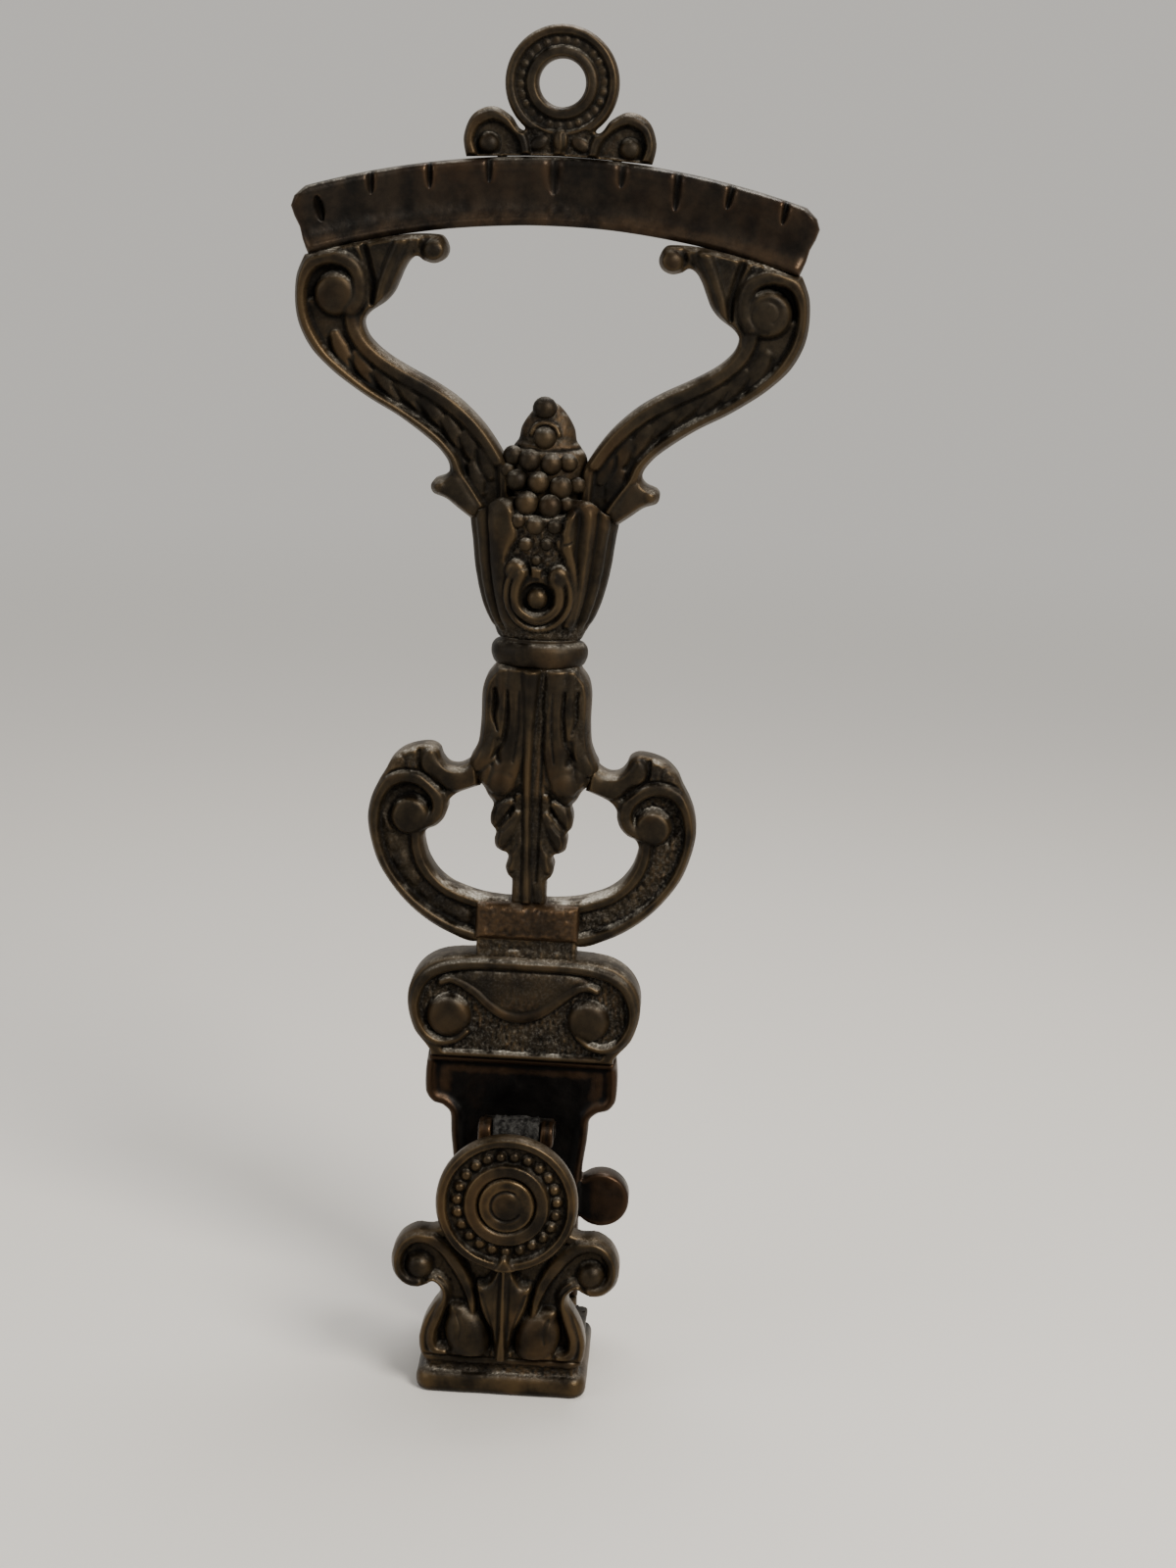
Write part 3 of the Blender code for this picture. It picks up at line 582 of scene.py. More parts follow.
def noise(tree, where, scale, detail=4.0, rough=0.6):
    node = tree.nodes.new("ShaderNodeTexNoise")
    node.inputs["Scale"].default_value = scale
    node.inputs["Detail"].default_value = detail
    node.inputs["Roughness"].default_value = rough
    tree.links.new(where, node.inputs["Vector"])
    return node.outputs["Fac"]


def field(tree, name):
    node = tree.nodes.new("ShaderNodeAttribute")
    node.attribute_name = name
    return node.outputs["Fac"]


def bump(tree, shader, height, strength, distance):
    node = tree.nodes.new("ShaderNodeBump")
    node.inputs["Strength"].default_value = strength
    node.inputs["Distance"].default_value = distance
    tree.links.new(height, node.inputs["Height"])
    tree.links.new(node.outputs["Normal"], shader.inputs["Normal"])


def bronze(name, dark, brown, rubbed_and_highlight, polish=0.0, dust=1.0):
    """Old cast bronze: dark brown patina, dull warm rubbed places (on the shank these paint highlights), painted
    shade that blackens the hollows, and grey dust.
    """
    made, tree, shader = nodes_of(name)
    where = tree.nodes.new("ShaderNodeTexCoord").outputs["Object"]
    wear_and_shade, grain, rub_and_highlight, up = (field(tree, word) for word in ("wear_and_shade", "grain", "rub_and_highlight", "up"))
    broad = noise(tree, where, 38, 3)
    blotch = noise(tree, where, 150, 4)
    fine = noise(tree, where, 520, 6, 0.7)
    grit = noise(tree, where, 1500, 3, 0.7)

    # patina, with warm places where it wears thin
    mottled = mix(tree, ramp(tree, blotch, 0.3, 0.66), dark, brown)
    mottled = mix(tree, maths(tree, "MULTIPLY", ramp(tree, fine, 0.42, 0.75), 0.4), mottled, dark)
    warm = (
        0.3 * brown[0] + 0.75 * rubbed_and_highlight[0], 0.3 * brown[1] + 0.58 * rubbed_and_highlight[1],
        0.3 * brown[2] + 0.4 * rubbed_and_highlight[2]
    )
    thin = maths(tree, "MULTIPLY", ramp(tree, broad, 0.48, 0.7), ramp(tree, wear_and_shade, 0.4, 0.62))
    mottled = mix(tree, maths(tree, "MULTIPLY", thin, 0.5), mottled, warm)
    shaken = maths(tree, "ADD", wear_and_shade, maths(tree, "MULTIPLY_ADD", blotch, 0.6, -0.3))
    shaken = maths(tree, "ADD", shaken, maths(tree, "MULTIPLY_ADD", broad, 0.4, -0.2))
    shaken = maths(tree, "ADD", shaken, maths(tree, "MULTIPLY", rub_and_highlight, 0.32))
    edge = ramp(tree, shaken, RUBBED_FROM, RUBBED_TO)
    coloured = mix(tree, maths(tree, "MULTIPLY", edge, 0.8), mottled, rubbed_and_highlight)
    # painted shade: concave places and the backs of beads are darkened towards black
    hollow = ramp(tree, maths(tree, "MULTIPLY", wear_and_shade, -1.0), -0.4, -0.05)
    coloured = mix(tree, maths(tree, "MULTIPLY", hollow, 0.7), coloured, SHADE_BLACK)

    # grey dust on ledges and on the grained ground
    speck = ramp(tree, grit, 0.46, 0.7)
    ledge = maths(tree, "MULTIPLY", ramp(tree, up, 0.42, 0.78), ramp(tree, blotch, 0.38, 0.6))
    ledge = maths(tree, "MULTIPLY", ledge, maths(tree, "MULTIPLY_ADD", speck, 0.35, 0.15))
    ledge = maths(tree, "MULTIPLY", ledge, maths(tree, "MULTIPLY_ADD", grain, 1.2, 1.0))
    ground = maths(tree, "MULTIPLY", grain, maths(tree, "MULTIPLY_ADD", speck, 0.1, 0.0))
    dusty = maths(tree, "MULTIPLY", maths(tree, "MAXIMUM", ledge, ground), dust, clamp=True)
    coloured = mix(tree, dusty, coloured, DUST)
    tree.links.new(coloured, shader.inputs["Base Color"])

    metal = maths(tree, "MULTIPLY_ADD", edge, 0.25, 0.6)
    metal = maths(tree, "MULTIPLY", metal, maths(tree, "MULTIPLY_ADD", dusty, -1.0, 1.0, True))
    tree.links.new(metal, shader.inputs["Metallic"])
    shader.inputs["Specular IOR Level"].default_value = 0.16
    rough = maths(tree, "MULTIPLY_ADD", edge, -0.08, 0.5 - polish)
    rough = maths(tree, "ADD", rough, maths(tree, "MULTIPLY_ADD", blotch, 0.3, -0.15))
    rough = maths(
        tree, "ADD", rough, maths(tree, "MULTIPLY", maths(tree, "MAXIMUM", dusty, hollow), 0.3), clamp=True
    )
    tree.links.new(rough, shader.inputs["Roughness"])
    height = maths(tree, "MULTIPLY_ADD", blotch, 0.6, maths(tree, "MULTIPLY", fine, 0.45))
    height = maths(
        tree, "ADD", height, maths(tree, "MULTIPLY", grit, maths(tree, "MULTIPLY_ADD", grain, 1.5, 0.15))
    )
    bump(tree, shader, height, 0.5, 0.0004)
    return made


def steel():
    """Plated steel wire, a little tarnished."""
    made, tree, shader = nodes_of("worm_steel")
    where = tree.nodes.new("ShaderNodeTexCoord").outputs["Object"]
    fine = noise(tree, where, 700, 5, 0.7)
    coloured = mix(
        tree, ramp(tree, noise(tree, where, 90, 4), 0.4, 0.7), (0.30, 0.29, 0.28), (0.14, 0.11, 0.09)
    )
    tree.links.new(coloured, shader.inputs["Base Color"])
    shader.inputs["Metallic"].default_value = 1.0
    tree.links.new(maths(tree, "MULTIPLY_ADD", fine, 0.3, 0.2), shader.inputs["Roughness"])
    bump(tree, shader, fine, 0.3, 0.0001)
    return made


def scale_crust():
    """The grey, gritty, flaking surface of the worm's barrel."""
    made, tree, shader = nodes_of("barrel_scale")
    where = tree.nodes.new("ShaderNodeTexCoord").outputs["Object"]
    flakes = noise(tree, where, 620, 5, 0.75)
    grit = noise(tree, where, 1700, 3, 0.7)
    coloured = mix(tree, ramp(tree, flakes, 0.38, 0.66), (0.002, 0.0018, 0.0017), (0.034, 0.033, 0.031))
    tree.links.new(coloured, shader.inputs["Base Color"])
    shader.inputs["Roughness"].default_value = 0.75
    shader.inputs["Specular IOR Level"].default_value = 0.12
    bump(tree, shader, maths(tree, "MULTIPLY_ADD", grit, 0.4, flakes), 0.8, 0.0006)
    return made


def floor_look():
    """Pale matt floor whose far parts take the world's colour."""
    made, tree, shader = nodes_of("studio_floor")
    where = tree.nodes.new("ShaderNodeTexCoord").outputs["Object"]
    coloured = mix(tree, noise(tree, where, 3, 3), (0.56, 0.543, 0.515), (0.59, 0.572, 0.543))
    tree.links.new(coloured, shader.inputs["Base Color"])
    tree.links.new(
        maths(tree, "MULTIPLY_ADD", noise(tree, where, 60, 4), 0.2, 0.65), shader.inputs["Roughness"]
    )
    glow = tree.nodes.new("ShaderNodeEmission")
    glow.inputs["Color"].default_value = (*PALE, 1)
    away = tree.nodes.new("ShaderNodeVectorMath")
    away.operation = "LENGTH"
    tree.links.new(where, away.inputs[0])
    blend = tree.nodes.new("ShaderNodeMixShader")
    tree.links.new(ramp(tree, away.outputs["Value"], 0.35, 1.6), blend.inputs["Fac"])
    tree.links.new(shader.outputs[0], blend.inputs[1])
    tree.links.new(glow.outputs[0], blend.inputs[2])
    tree.links.new(blend.outputs[0], tree.nodes["Material Output"].inputs["Surface"])
    return made


LOOKS = {
    "bronze": bronze(
        "cast_bronze", (0.0062, 0.005, 0.0036), (0.0205, 0.0154, 0.0094), (0.056, 0.0385, 0.0205)
    ),
    "shaft": bronze("shaft_bronze", (0.007, 0.0053, 0.0035), (0.022, 0.0160, 0.0090), (0.060, 0.041, 0.0215)),
    "grip": bronze(
        "grip_bronze", (0.0045, 0.0038, 0.0032), (0.0155, 0.0114, 0.0078), (0.053, 0.034, 0.0200), 0.1, 0.8
    ),
    "foot": bronze(
        "foot_bronze", (0.007, 0.0051, 0.0031), (0.0245, 0.0172, 0.0092), (0.072, 0.048, 0.0235), 0.07, 0.4
    ),
    # shank and clevis: their near-black base is painted shade of the deep recess behind capital and foot; the
    # shank's rubbed colour also paints its highlights
    "shank_painted_shade": bronze(
        "shank_bronze_painted_light_and_shade", (0.0014, 0.0012, 0.0011), (0.003, 0.0023, 0.0019), (0.038, 0.022, 0.0125), 0.04, 0.2
    ),
    "band": bronze(
        "band_bronze", (0.011, 0.0072, 0.0042), (0.030, 0.0185, 0.0098), (0.058, 0.035, 0.018), 0.04, 0.4
    ),
    "clevis_painted_shade": bronze(
        "clevis_bronze_painted_shade", (0.002, 0.0016, 0.0013), (0.005, 0.0036, 0.0028), (0.05, 0.028, 0.014), 0.08, 0.2
    ),
    "pin": bronze("pin_bronze", (0.02, 0.014, 0.009), (0.04, 0.027, 0.016), (0.08, 0.055, 0.031), 0.12, 0.4),
    "barrel": scale_crust(),
    "steel": steel(),
}

# ---------------------------------------------------------------- the handle


def hanging_ring():
    """The beaded ring on its crest of two volutes."""
    ring = (0, node_box("hanging_ring")[1][2] - 13.7)
    body = region(
        symmetric(
            [
                (0, 314.5), (9.0, 311.2), (12.4, 314.6), (16.8, 316.6), (21.4, 314.4), (23.4, 309.2),
                (22.6, 304.4, 0)
            ]
            + [(0, 305.4)]
        )
    )
    shape = minus(joined(body, disc(ring, 13.8), blend=1.2), disc(ring, 5.7))
    made = Plate(shape, (-24, 304), (24, 337), 0.25, 0.9)
    made.uneven(0.06, 6, 3)
    from_ring = np.hypot(made.p[:, 0] - ring[0], made.p[:, 1] - ring[1])
    made.h -= 0.7 * soft(from_ring, 8.4, 9.0) * soft(-from_ring, -11.7, -11.2)
    made.grain += 0.25 * soft(from_ring, 8.6, 9.0) * soft(-from_ring, -11.5, -11.2)
    made.rope(arc(ring, 12.65, 0, 360, 60), 1.25, 0.7, -0.1, square=2.6)
    made.rope(arc(ring, 7.2, 0, 360, 60), 1.6, 1.1, -0.2, square=2.3)
    draw = np.random.default_rng(3)
    for k in range(26):
        turn = math.radians(360 / 26 * k + 4)
        proud = draw.uniform(0.35, 0.8)
        place = (ring[0] + 10.1 * math.cos(turn), ring[1] + 10.1 * math.sin(turn))
        made.dome(place, 1.15, proud, -0.75, 0.85, math.degrees(turn))
    hollow = region(symmetric([(0, 311.5), (7.4, 311.6), (8.6, 307.6), (7.4, 304.4), (0, 304.4)]))
    below = lambda p: np.maximum(hollow(p), 12.4 - np.hypot(p[:, 0] - ring[0], p[:, 1] - ring[1]))
    made.sunk(below, 0.9, 0.8, 0.5)
    for side in (-1, 1):
        eye = (side * 17.2, 307.8)
        made.sunk(
            region(
                [(side * x, z) for x, z in ((10.4, 304.4), (11.2, 310.4), (16.4, 314.0), (20.8, 311.4), (21, 304.4))]
            ),
            1.3, 1.0, 0.25
        )
        band = [
            (7.8, 304.6), (9.0, 309.2), (12.0, 312.9), (16.4, 314.7), (20.6, 312.6), (22.0, 308.6),
            (20.9, 304.8)
        ]
        made.rope(curve([(side * x, z) for x, z in band]), 1.35, 1.3, -0.3, (0.8, 1.1, 1.0, 0.8))
        made.dome(eye, 2.6, 2.1, -0.9)
        made.dome((side * 5.0, 308.4), 1.7, 1.1, -0.8, 1.5, side * 60)
    made.dome((0.2, 309.3), 1.9, 2.0, -0.2, 1.6)
    made.rope(curve([(0.2, 309.0), (0.0, 304.6)]), 1.4, 1.2, -0.4)
    made.cut(curve([(0.9, 310.6), (1.1, 307.6), (0.6, 305.6)]), 0.3, 0.6)
    made.tooled(0.3, 1.0, 4)
    made.build("crest_and_ring", HANDLE_Y - 3, HANDLE_Y + 3, "handle", "dark_bronze", ["hanging_ring"])


BAR_HEIGHT = 16.4
BAR_ARCH = 10.0
BAR_BOW = 9.0
# along the bar, half width, start and end below the lip, depth, slant
NOTCHES = (
    (-57.6, 0.8, 3.0, 9.6, 1.9, 0.22),
    (-45.0, 0.75, 0.2, 5.6, 1.6, 0.05),
    (-31.0, 0.65, 0.0, 6.4, 1.5, 0.03),
    (-16.6, 0.8, 0.0, 6.0, 1.1, 0.0),
    (-1.0, 1.4, 0.0, 9.0, 1.5, 0.02),
    (15.6, 1.0, 0.0, 6.0, 1.2, -0.04),
    (29.2, 0.9, 0.3, 9.4, 1.3, -0.05),
    (42.4, 0.75, 0.2, 6.0, 1.6, -0.2),
    (55.6, 0.7, 0.2, 5.8, 1.6, -0.16),
)


def grip_bar():
    """The curved, hollow-fronted bar, notched along its top lip and flared at its ends."""
    top = node_box("grip_bar")[1][2]
    # half the length at each height below the top
    reach_at = ([0, 1.6, 3.8, 6.5, 9.5, 12.5, BAR_HEIGHT], [60.6, 63.0, 63.8, 63.0, 61.7, 61.0, 59.6])
    # section from the top back, over the lip, down the hollow front and back under, as (y, z below the top)
    section = curve(
        [(4.0, 0.9), (2.6, 0.0), (-3.4, 0.0), (-5.3, 0.5), (-5.8, 1.9), (-5.2, 3.8), (-4.2, 6.4), (-3.7, 9.2)]
        + [
            (-3.9, 11.8), (-4.8, 13.9), (-5.2, 15.2), (-4.2, BAR_HEIGHT), (2.8, BAR_HEIGHT), (4.1, 15.4),
            (4.3, 8.0)
        ],
        True,
        12,
    )
    stations = 460
    along = np.sin(
        np.linspace(-math.pi / 2, math.pi / 2, stations)
    ) * 0.35 + np.linspace(-1, 1, stations) * 0.65
    front = soft(-section[:, 0], 2.4, 3.4)
    rows = np.empty((stations, len(section), 3))
    rub_and_highlight = np.empty((stations, len(section)))
    reach = np.interp(section[:, 1], *reach_at)
    for i, here in enumerate(along):
        x = here * reach
        from_end = np.clip((1 - abs(here)) * reach / 2.4, 0, 1)
        squeeze = 0.5 + 0.5 * np.sqrt(1 - (1 - from_end) ** 2)
        y = section[:, 0] * squeeze
        below = section[:, 1]
        for centre, wide, start, end, deep, slant in NOTCHES:
            off = x - centre - slant * (below - start)
            span = np.clip((below - start) / (end - start), 0, 1)
            lens = np.sqrt(1 - (2 * span - 1) ** 2) if start > 2 else np.sqrt(1 - span**3)
            y = y + front * deep * lens * np.exp(-((off / (wide * np.maximum(lens, 0.35))) ** 2))
        slow = 0.12 * np.sin(x * 0.11 + 0.6) + 0.1 * lumps(np.stack([x / 7, below / 4], axis=1), 5)
        scuffs = 0.09 * lumps(np.stack([x / 1.6, below / 2.1], axis=1), 6) * (
            0.4 + lumps(np.stack([x / 9, below / 9], axis=1), 7)
        )
        rows[i, :, 0] = x
        rows[i, :, 1] = HANDLE_Y + y - BAR_BOW * (x / 63.0) ** 2 + front * (slow * 0.7 + scuffs)
        rows[i, :, 2] = top - below - BAR_ARCH * (x / 63.0) ** 2 + 0.25 * slow
        polished = np.exp(-(((below - 14.2) / 2.6) ** 2)) * (0.75 + 0.35 * np.abs(x / 63.0))
        upper = 0.55 * np.exp(-(((below - 2.4) / 1.6) ** 2)) * (0.6 + 0.4 * np.sin(x * 0.17 + 1) ** 2)
        rub_and_highlight[i] = front * (polished + upper)
    surface("grip", rows, "handle", ["grip_bar"], "grip", rub_and_highlight=rub_and_highlight)


ARM = (
    [
        (60.4, 279.6, 0), (62.4, 274.5), (62.7, 268.0), (61.6, 262.4), (58.6, 256.8), (53.6, 251.8),
        (48.6, 248.1)
    ]
    + [
        (43.6, 244.9), (36.9, 241.2), (30.8, 237.0), (26.8, 233.7), (24.4, 230.6), (23.9, 228.2),
        (25.2, 226.6)
    ]
    + [
        (27.6, 225.6), (28.5, 224.0), (27.7, 222.2), (24.6, 221.0), (21.4, 218.6), (18.4, 216.4, 0),
        (8.6, 216.4, 0)
    ]
    + [(9.2, 229.0), (11.2, 233.4), (14.6, 238.4), (18.0, 242.2), (22.6, 246.2), (28.2, 249.7), (34.1, 252.7)]
    + [
        (38.8, 255.3), (42.3, 257.8), (45.0, 260.8), (45.9, 264.0), (44.4, 266.3), (41.0, 268.7),
        (38.8, 271.2)
    ]
    + [
        (37.4, 274.3), (36.2, 277.2), (34.8, 279.4), (33.0, 280.4), (31.2, 279.4), (28.6, 278.9),
        (26.2, 280.2)
    ]
    + [(25.6, 282.8), (27.6, 285.6), (36.0, 285.4), (48.0, 283.0)]
)
# dark hollows between the leaves that wind down the arm's channel, each from its start to its end
ARM_CUTS = (
    ((54.7, 259.4), (50.6, 251.8)),
    ((49.2, 254.6), (45.0, 248.6)),
    ((44.0, 251.2), (39.2, 245.5)),
    ((38.4, 248.8), (33.2, 243.0)),
    ((32.6, 245.2), (27.2, 238.8)),
    ((26.6, 240.4), (23.4, 234.3)),
    ((21.8, 236.6), (19.4, 230.6)),
    ((17.4, 233.6), (15.6, 226.8)),
    ((20.2, 229.0), (17.8, 222.6)),
)


def arm(side):
    """An S-scroll arm: ribbed edges, leaves winding down its channel, a volute, a bracket and a spur."""
    name = "right" if side > 0 else "left"
    made = Plate(region(ARM), (8, 214), (63.7, 286.5), 0.32)
    made.uneven(0.07, 8, 5 if side > 0 else 6)
    low = lambda p: soft(-p[:, 1], -270.0, -264.5) * soft(p[:, 0] + 0.4 * (p[:, 1] - 220), 8, 12)
    made.channel(2.0, 1.3, 1.1, 0.12, low)
    depth = 0.65 if side > 0 else 1.0
    ground = made.h.copy()
    for k, (a, b) in enumerate(ARM_CUTS):
        sway = 0.5 * math.sin(k * 2.1)
        mid = ((a[0] + b[0]) / 2 + 0.5, (a[1] + b[1]) / 2 - 0.5)
        body = curve(
            [(a[0] - 1.9, a[1] + 1.0 + sway), (mid[0] - 2.2, mid[1] + 0.6), (b[0] - 2.0, b[1] + 0.2)]
        )
        made.rope(body, 2.3, 1.25 * depth, -1.3, (0.6, 1.0, 1.0, 0.5))
        made.cut(curve([a, mid, b]), 0.65, 0.75 * depth, taper=(0.5, 1.1, 0.5))
    share = soft(made.deep, 2.0, 2.9)
    made.h = ground * (1 - share) + made.h * share

    outer = [
        (21.6, 227.6), (23.2, 231.4), (26.4, 235.2), (30.6, 238.6), (37.2, 242.8), (44.0, 246.6),
        (50.2, 251.0)
    ]
    outer += [
        (55.8, 256.0), (59.6, 262.0), (61.2, 268.0), (60.9, 273.6), (58.6, 277.6), (54.8, 279.3),
        (50.8, 279.0)
    ]
    outer += [(47.9, 277.0), (46.7, 273.6), (46.9, 269.6), (48.9, 267.0)]
    crescent = [
        (60.0, 269.0), (59.6, 274.0), (56.4, 277.4), (52.0, 277.8), (48.6, 275.0), (48.0, 270.6),
        (49.6, 268.4)
    ]
    made.sunk(region(crescent + [(52.5, 270.8)]), 2.0, 1.3, 0.1)
    made.rope(curve(outer), 1.75, 2.0, -0.2, (0.75, 0.75, 0.75, 0.85, 1.15, 1.15))
    made.button((52.6, 270.4), 5.3 if side < 0 else 5.8, 2.1, 2.2, -0.5, 0.4)
    if side > 0:
        made.cut(arc((52.6, 270.4), 2.2, -60, 270, 24, 4.6), 0.35, 0.4)
    inner = [
        (12.0, 231.6), (15.2, 236.4), (19.2, 240.7), (24.2, 244.7), (30.4, 248.3), (36.4, 251.4),
        (41.6, 254.6)
    ]
    inner += [(45.8, 258.2), (48.2, 262.0), (48.9, 265.0)]
    made.rope(curve(inner), 2.1, 1.3, -0.3, (0.9, 0.95, 0.9, 0.9, 0.8))

    # bracket leaf and bud
    leaf = [
        (38.4, 270.6), (43.0, 266.6), (46.0, 265.4), (45.4, 271.0), (46.0, 277.0), (48.4, 284.6),
        (36.4, 285.6)
    ]
    leaf += [(31.0, 284.8), (33.6, 281.4), (36.0, 276.8)]
    made.pillow(region(leaf), 1.8, 1.8, -0.6, 0.12)
    made.rope(
        curve([(42.6, 267.4), (41.0, 273.2), (39.0, 278.8), (36.6, 284.0)]), 1.6, 2.2, 0.3,
        (0.8, 1.0, 1.1, 1.3)
    )
    made.cut(
        curve([(43.6, 268.6), (43.5, 272.9), (44.4, 277.0), (46.2, 283.2)]), 0.7, 1.9, taper=(0.6, 1.2, 1.3)
    )
    made.cut(curve([(36.9, 273.8), (34.4, 279.4), (33.4, 283.6)]), 0.4, 0.5)
    made.cut(curve([(31.0, 280.0), (31.9, 283.0), (31.4, 285.4)]), 0.5, 0.7)
    made.dome((28.6, 281.8), 3.1, 2.3, -0.1)
    made.grain += 0.8 * soft(made.p[:, 1], 279.6, 281.4) * soft(made.p[:, 0], 46.4, 48.0)

    # spur leaf at the vase's mouth
    spur = [
        (24.0, 227.8), (28.4, 224.2), (25.7, 221.3), (21.7, 218.6), (19.0, 216.0), (15.5, 219.3),
        (18.0, 223.5), (20.6, 227.6)
    ]
    made.pillow(region(spur), 2.2, 3.2, -0.3)
    made.dome((25.9, 224.1), 2.2, 2.7, -0.4)
    made.rope(curve([(21.6, 228.4), (18.6, 224.0), (15.6, 219.6)]), 0.7, 1.2, 0.2)
    made.tooled(0.28, 0.9, 7)
    lean = lambda x, z: 7.0 * (z - 216.6) / (278.0 - 216.6)
    replaced = [name + "_arm"]
    made.build(
        name + "_scroll_arm", HANDLE_FRONT, HANDLE_BACK, "handle", "dark_bronze", replaced, lean, side < 0
    )


def turned_front(name, radii, depth, sculpt, replaced, look, rows, columns, rise=None):
    """A flattened turned body. sculpt(canvas) adds relief on its front, and rise(turn) lifts its top rim."""
    path = curve(radii, per=max(2, rows // len(radii)))
    radius, z = path[:, 0], path[:, 1]
    turn = np.linspace(0, 2 * math.pi, columns, endpoint=False)
    x = radius[:, None] * np.cos(turn)[None, :]
    y = radius[:, None] * np.sin(turn)[None, :] * depth
    lift = 0 if rise is None else rise(turn)[None, :] * soft(z, z.max() - 16, z.max())[:, None]
    zz = z[:, None] + lift + 0 * x
    canvas = Canvas(np.stack([x.ravel(), zz.ravel()], axis=1))
    facing = soft(-np.sin(turn), -0.1, 0.3)
    sculpt(canvas)
    height = canvas.h.reshape(x.shape)
    nx, ny = np.cos(turn) * depth, np.sin(turn)
    size = np.hypot(nx, ny)
    amount = height * (0.1 + 0.9 * facing[None, :])
    grid = np.stack([x + nx / size * amount, HANDLE_Y + y + ny / size * amount, zz], axis=2)
    grain = canvas.grain.reshape(x.shape) * facing
    return surface(name, grid, "handle", replaced, look, grain=grain)


def vase():
    """The fluted tulip vase with its horseshoe scroll."""
    radii = [
        (9.0, 186.0), (10.6, 186.9), (11.6, 189.0), (13.6, 192.2), (15.1, 196.0), (16.4, 201.0),
        (17.3, 206.0)
    ]
    radii += [(17.9, 211.0), (18.6, 216.0), (18.7, 217.6), (17.0, 218.4), (13.0, 218.4), (3.0, 218.2)]
    profile = np.array(radii[:10])

    def sculpt(c):
        x, z = c.p[:, 0], c.p[:, 1]
        around = x / np.interp(z, profile[:, 1], profile[:, 0])
        up = soft(z, 187.5, 192) * soft(-z, -221.5, -218.5)
        for place, wide, deep in (
            (0.5, 0.05, 1.1), (0.75, 0.035, 0.9), (0.92, 0.03, 0.5), (-0.77, 0.03, 1.0), (-0.93, 0.03, 0.4)
        ):
            c.h -= deep * up * np.exp(-(((around - place) / wide) ** 2))
        for place, wide, high in (
            (0.36, 0.06, 0.5), (0.62, 0.05, 0.6), (0.84, 0.05, 0.4), (-0.62, 0.1, 0.7), (-0.86, 0.05, 0.3)
        ):
            c.h += high * up * np.exp(-(((around - place) / wide) ** 2))
        # the torn hollow between the petals, where the grapes hang
        hollow = [
            (-6.9, 221.0), (-7.6, 217.6), (-6.6, 213.2), (-8.4, 209.6), (-8.2, 205.6), (0, 203.6),
            (5.2, 204.6)
        ]
        hollow += [(6.0, 208.0), (3.8, 211.6), (5.0, 215.0), (6.2, 221.0)]
        c.sunk(region(hollow), 1.7, 1.0, 0.75)
        c.rope(
            curve([(7.2, 219.6), (6.2, 214.4), (6.9, 209.8), (8.0, 204.6), (8.4, 197.0), (7.0, 191.0)]), 1.0,
            0.8, -0.1
        )
        c.cut(curve([(4.6, 213.6), (5.0, 209.4), (6.6, 205.4)]), 0.35, 0.8)
        c.cut(curve([(5.6, 211.6), (7.6, 212.4)]), 0.25, 0.5)
        # horseshoe scroll round a ball
        ball = (-0.7, 197.7)
        c.sunk(disc(ball, 7.2), 0.4, 1.2, 0.1)
        shoe = [
            (-6.4, 205.2), (-8.0, 200.8), (-7.8, 196.0), (-5.2, 191.6), (-0.8, 189.6), (4.0, 191.2),
            (7.0, 195.6)
        ]
        shoe += [(7.2, 200.4), (5.6, 204.4)]
        c.rope(curve(shoe), 0.85, 1.3, 0.1)
        inner = [
            (-4.6, 204.2), (-6.0, 200.0), (-5.6, 195.6), (-3.4, 193.2), (-0.7, 192.2), (2.2, 193.2),
            (4.5, 196.0)
        ]
        inner += [(4.7, 200.0), (3.4, 203.2)]
        c.rope(curve(inner), 1.15, 1.5, 0.1, (1.2, 1.0, 1.15, 1.0, 1.2), square=2.5)
        c.h -= 1.3 * soft(-np.hypot(x - ball[0], z - ball[1]), -4.3, -3.7)
        c.dome(ball, 2.75, 2.3, -1.1)
        c.dome((-6.2, 204.4), 2.6, 1.5, 0.0, 1.15, 20)
        c.dome((4.4, 203.2), 2.6, 1.6, 0.0, 1.2, -15)
        c.pillow(
            region([(-2.6, 205.8, 0), (0.4, 205.4, 0), (0.3, 202.6, 0), (-2.4, 202.9, 0)]), 0.9, 0.7, -0.8
        )
        c.dome((-1.0, 187.8), 5.0, 0.8, -0.1, 0.35)
        c.grain += 0.7 * soft(-z, -192.0, -189.0) * soft(z, 186.4, 187.4)
        c.uneven(0.1, 6, 8)
        c.tooled(0.32, 0.9, 9)

    # the petals' rims climb towards the middle
    rise = lambda turn: 4.2 * np.exp(-(((np.abs(np.cos(turn)) - 0.62) / 0.2) ** 2)) * (np.sin(turn) < 0)
    turned_front("tulip_vase", radii, 0.58, sculpt, ["vase_cup"], "shaft", 150, 280, rise)


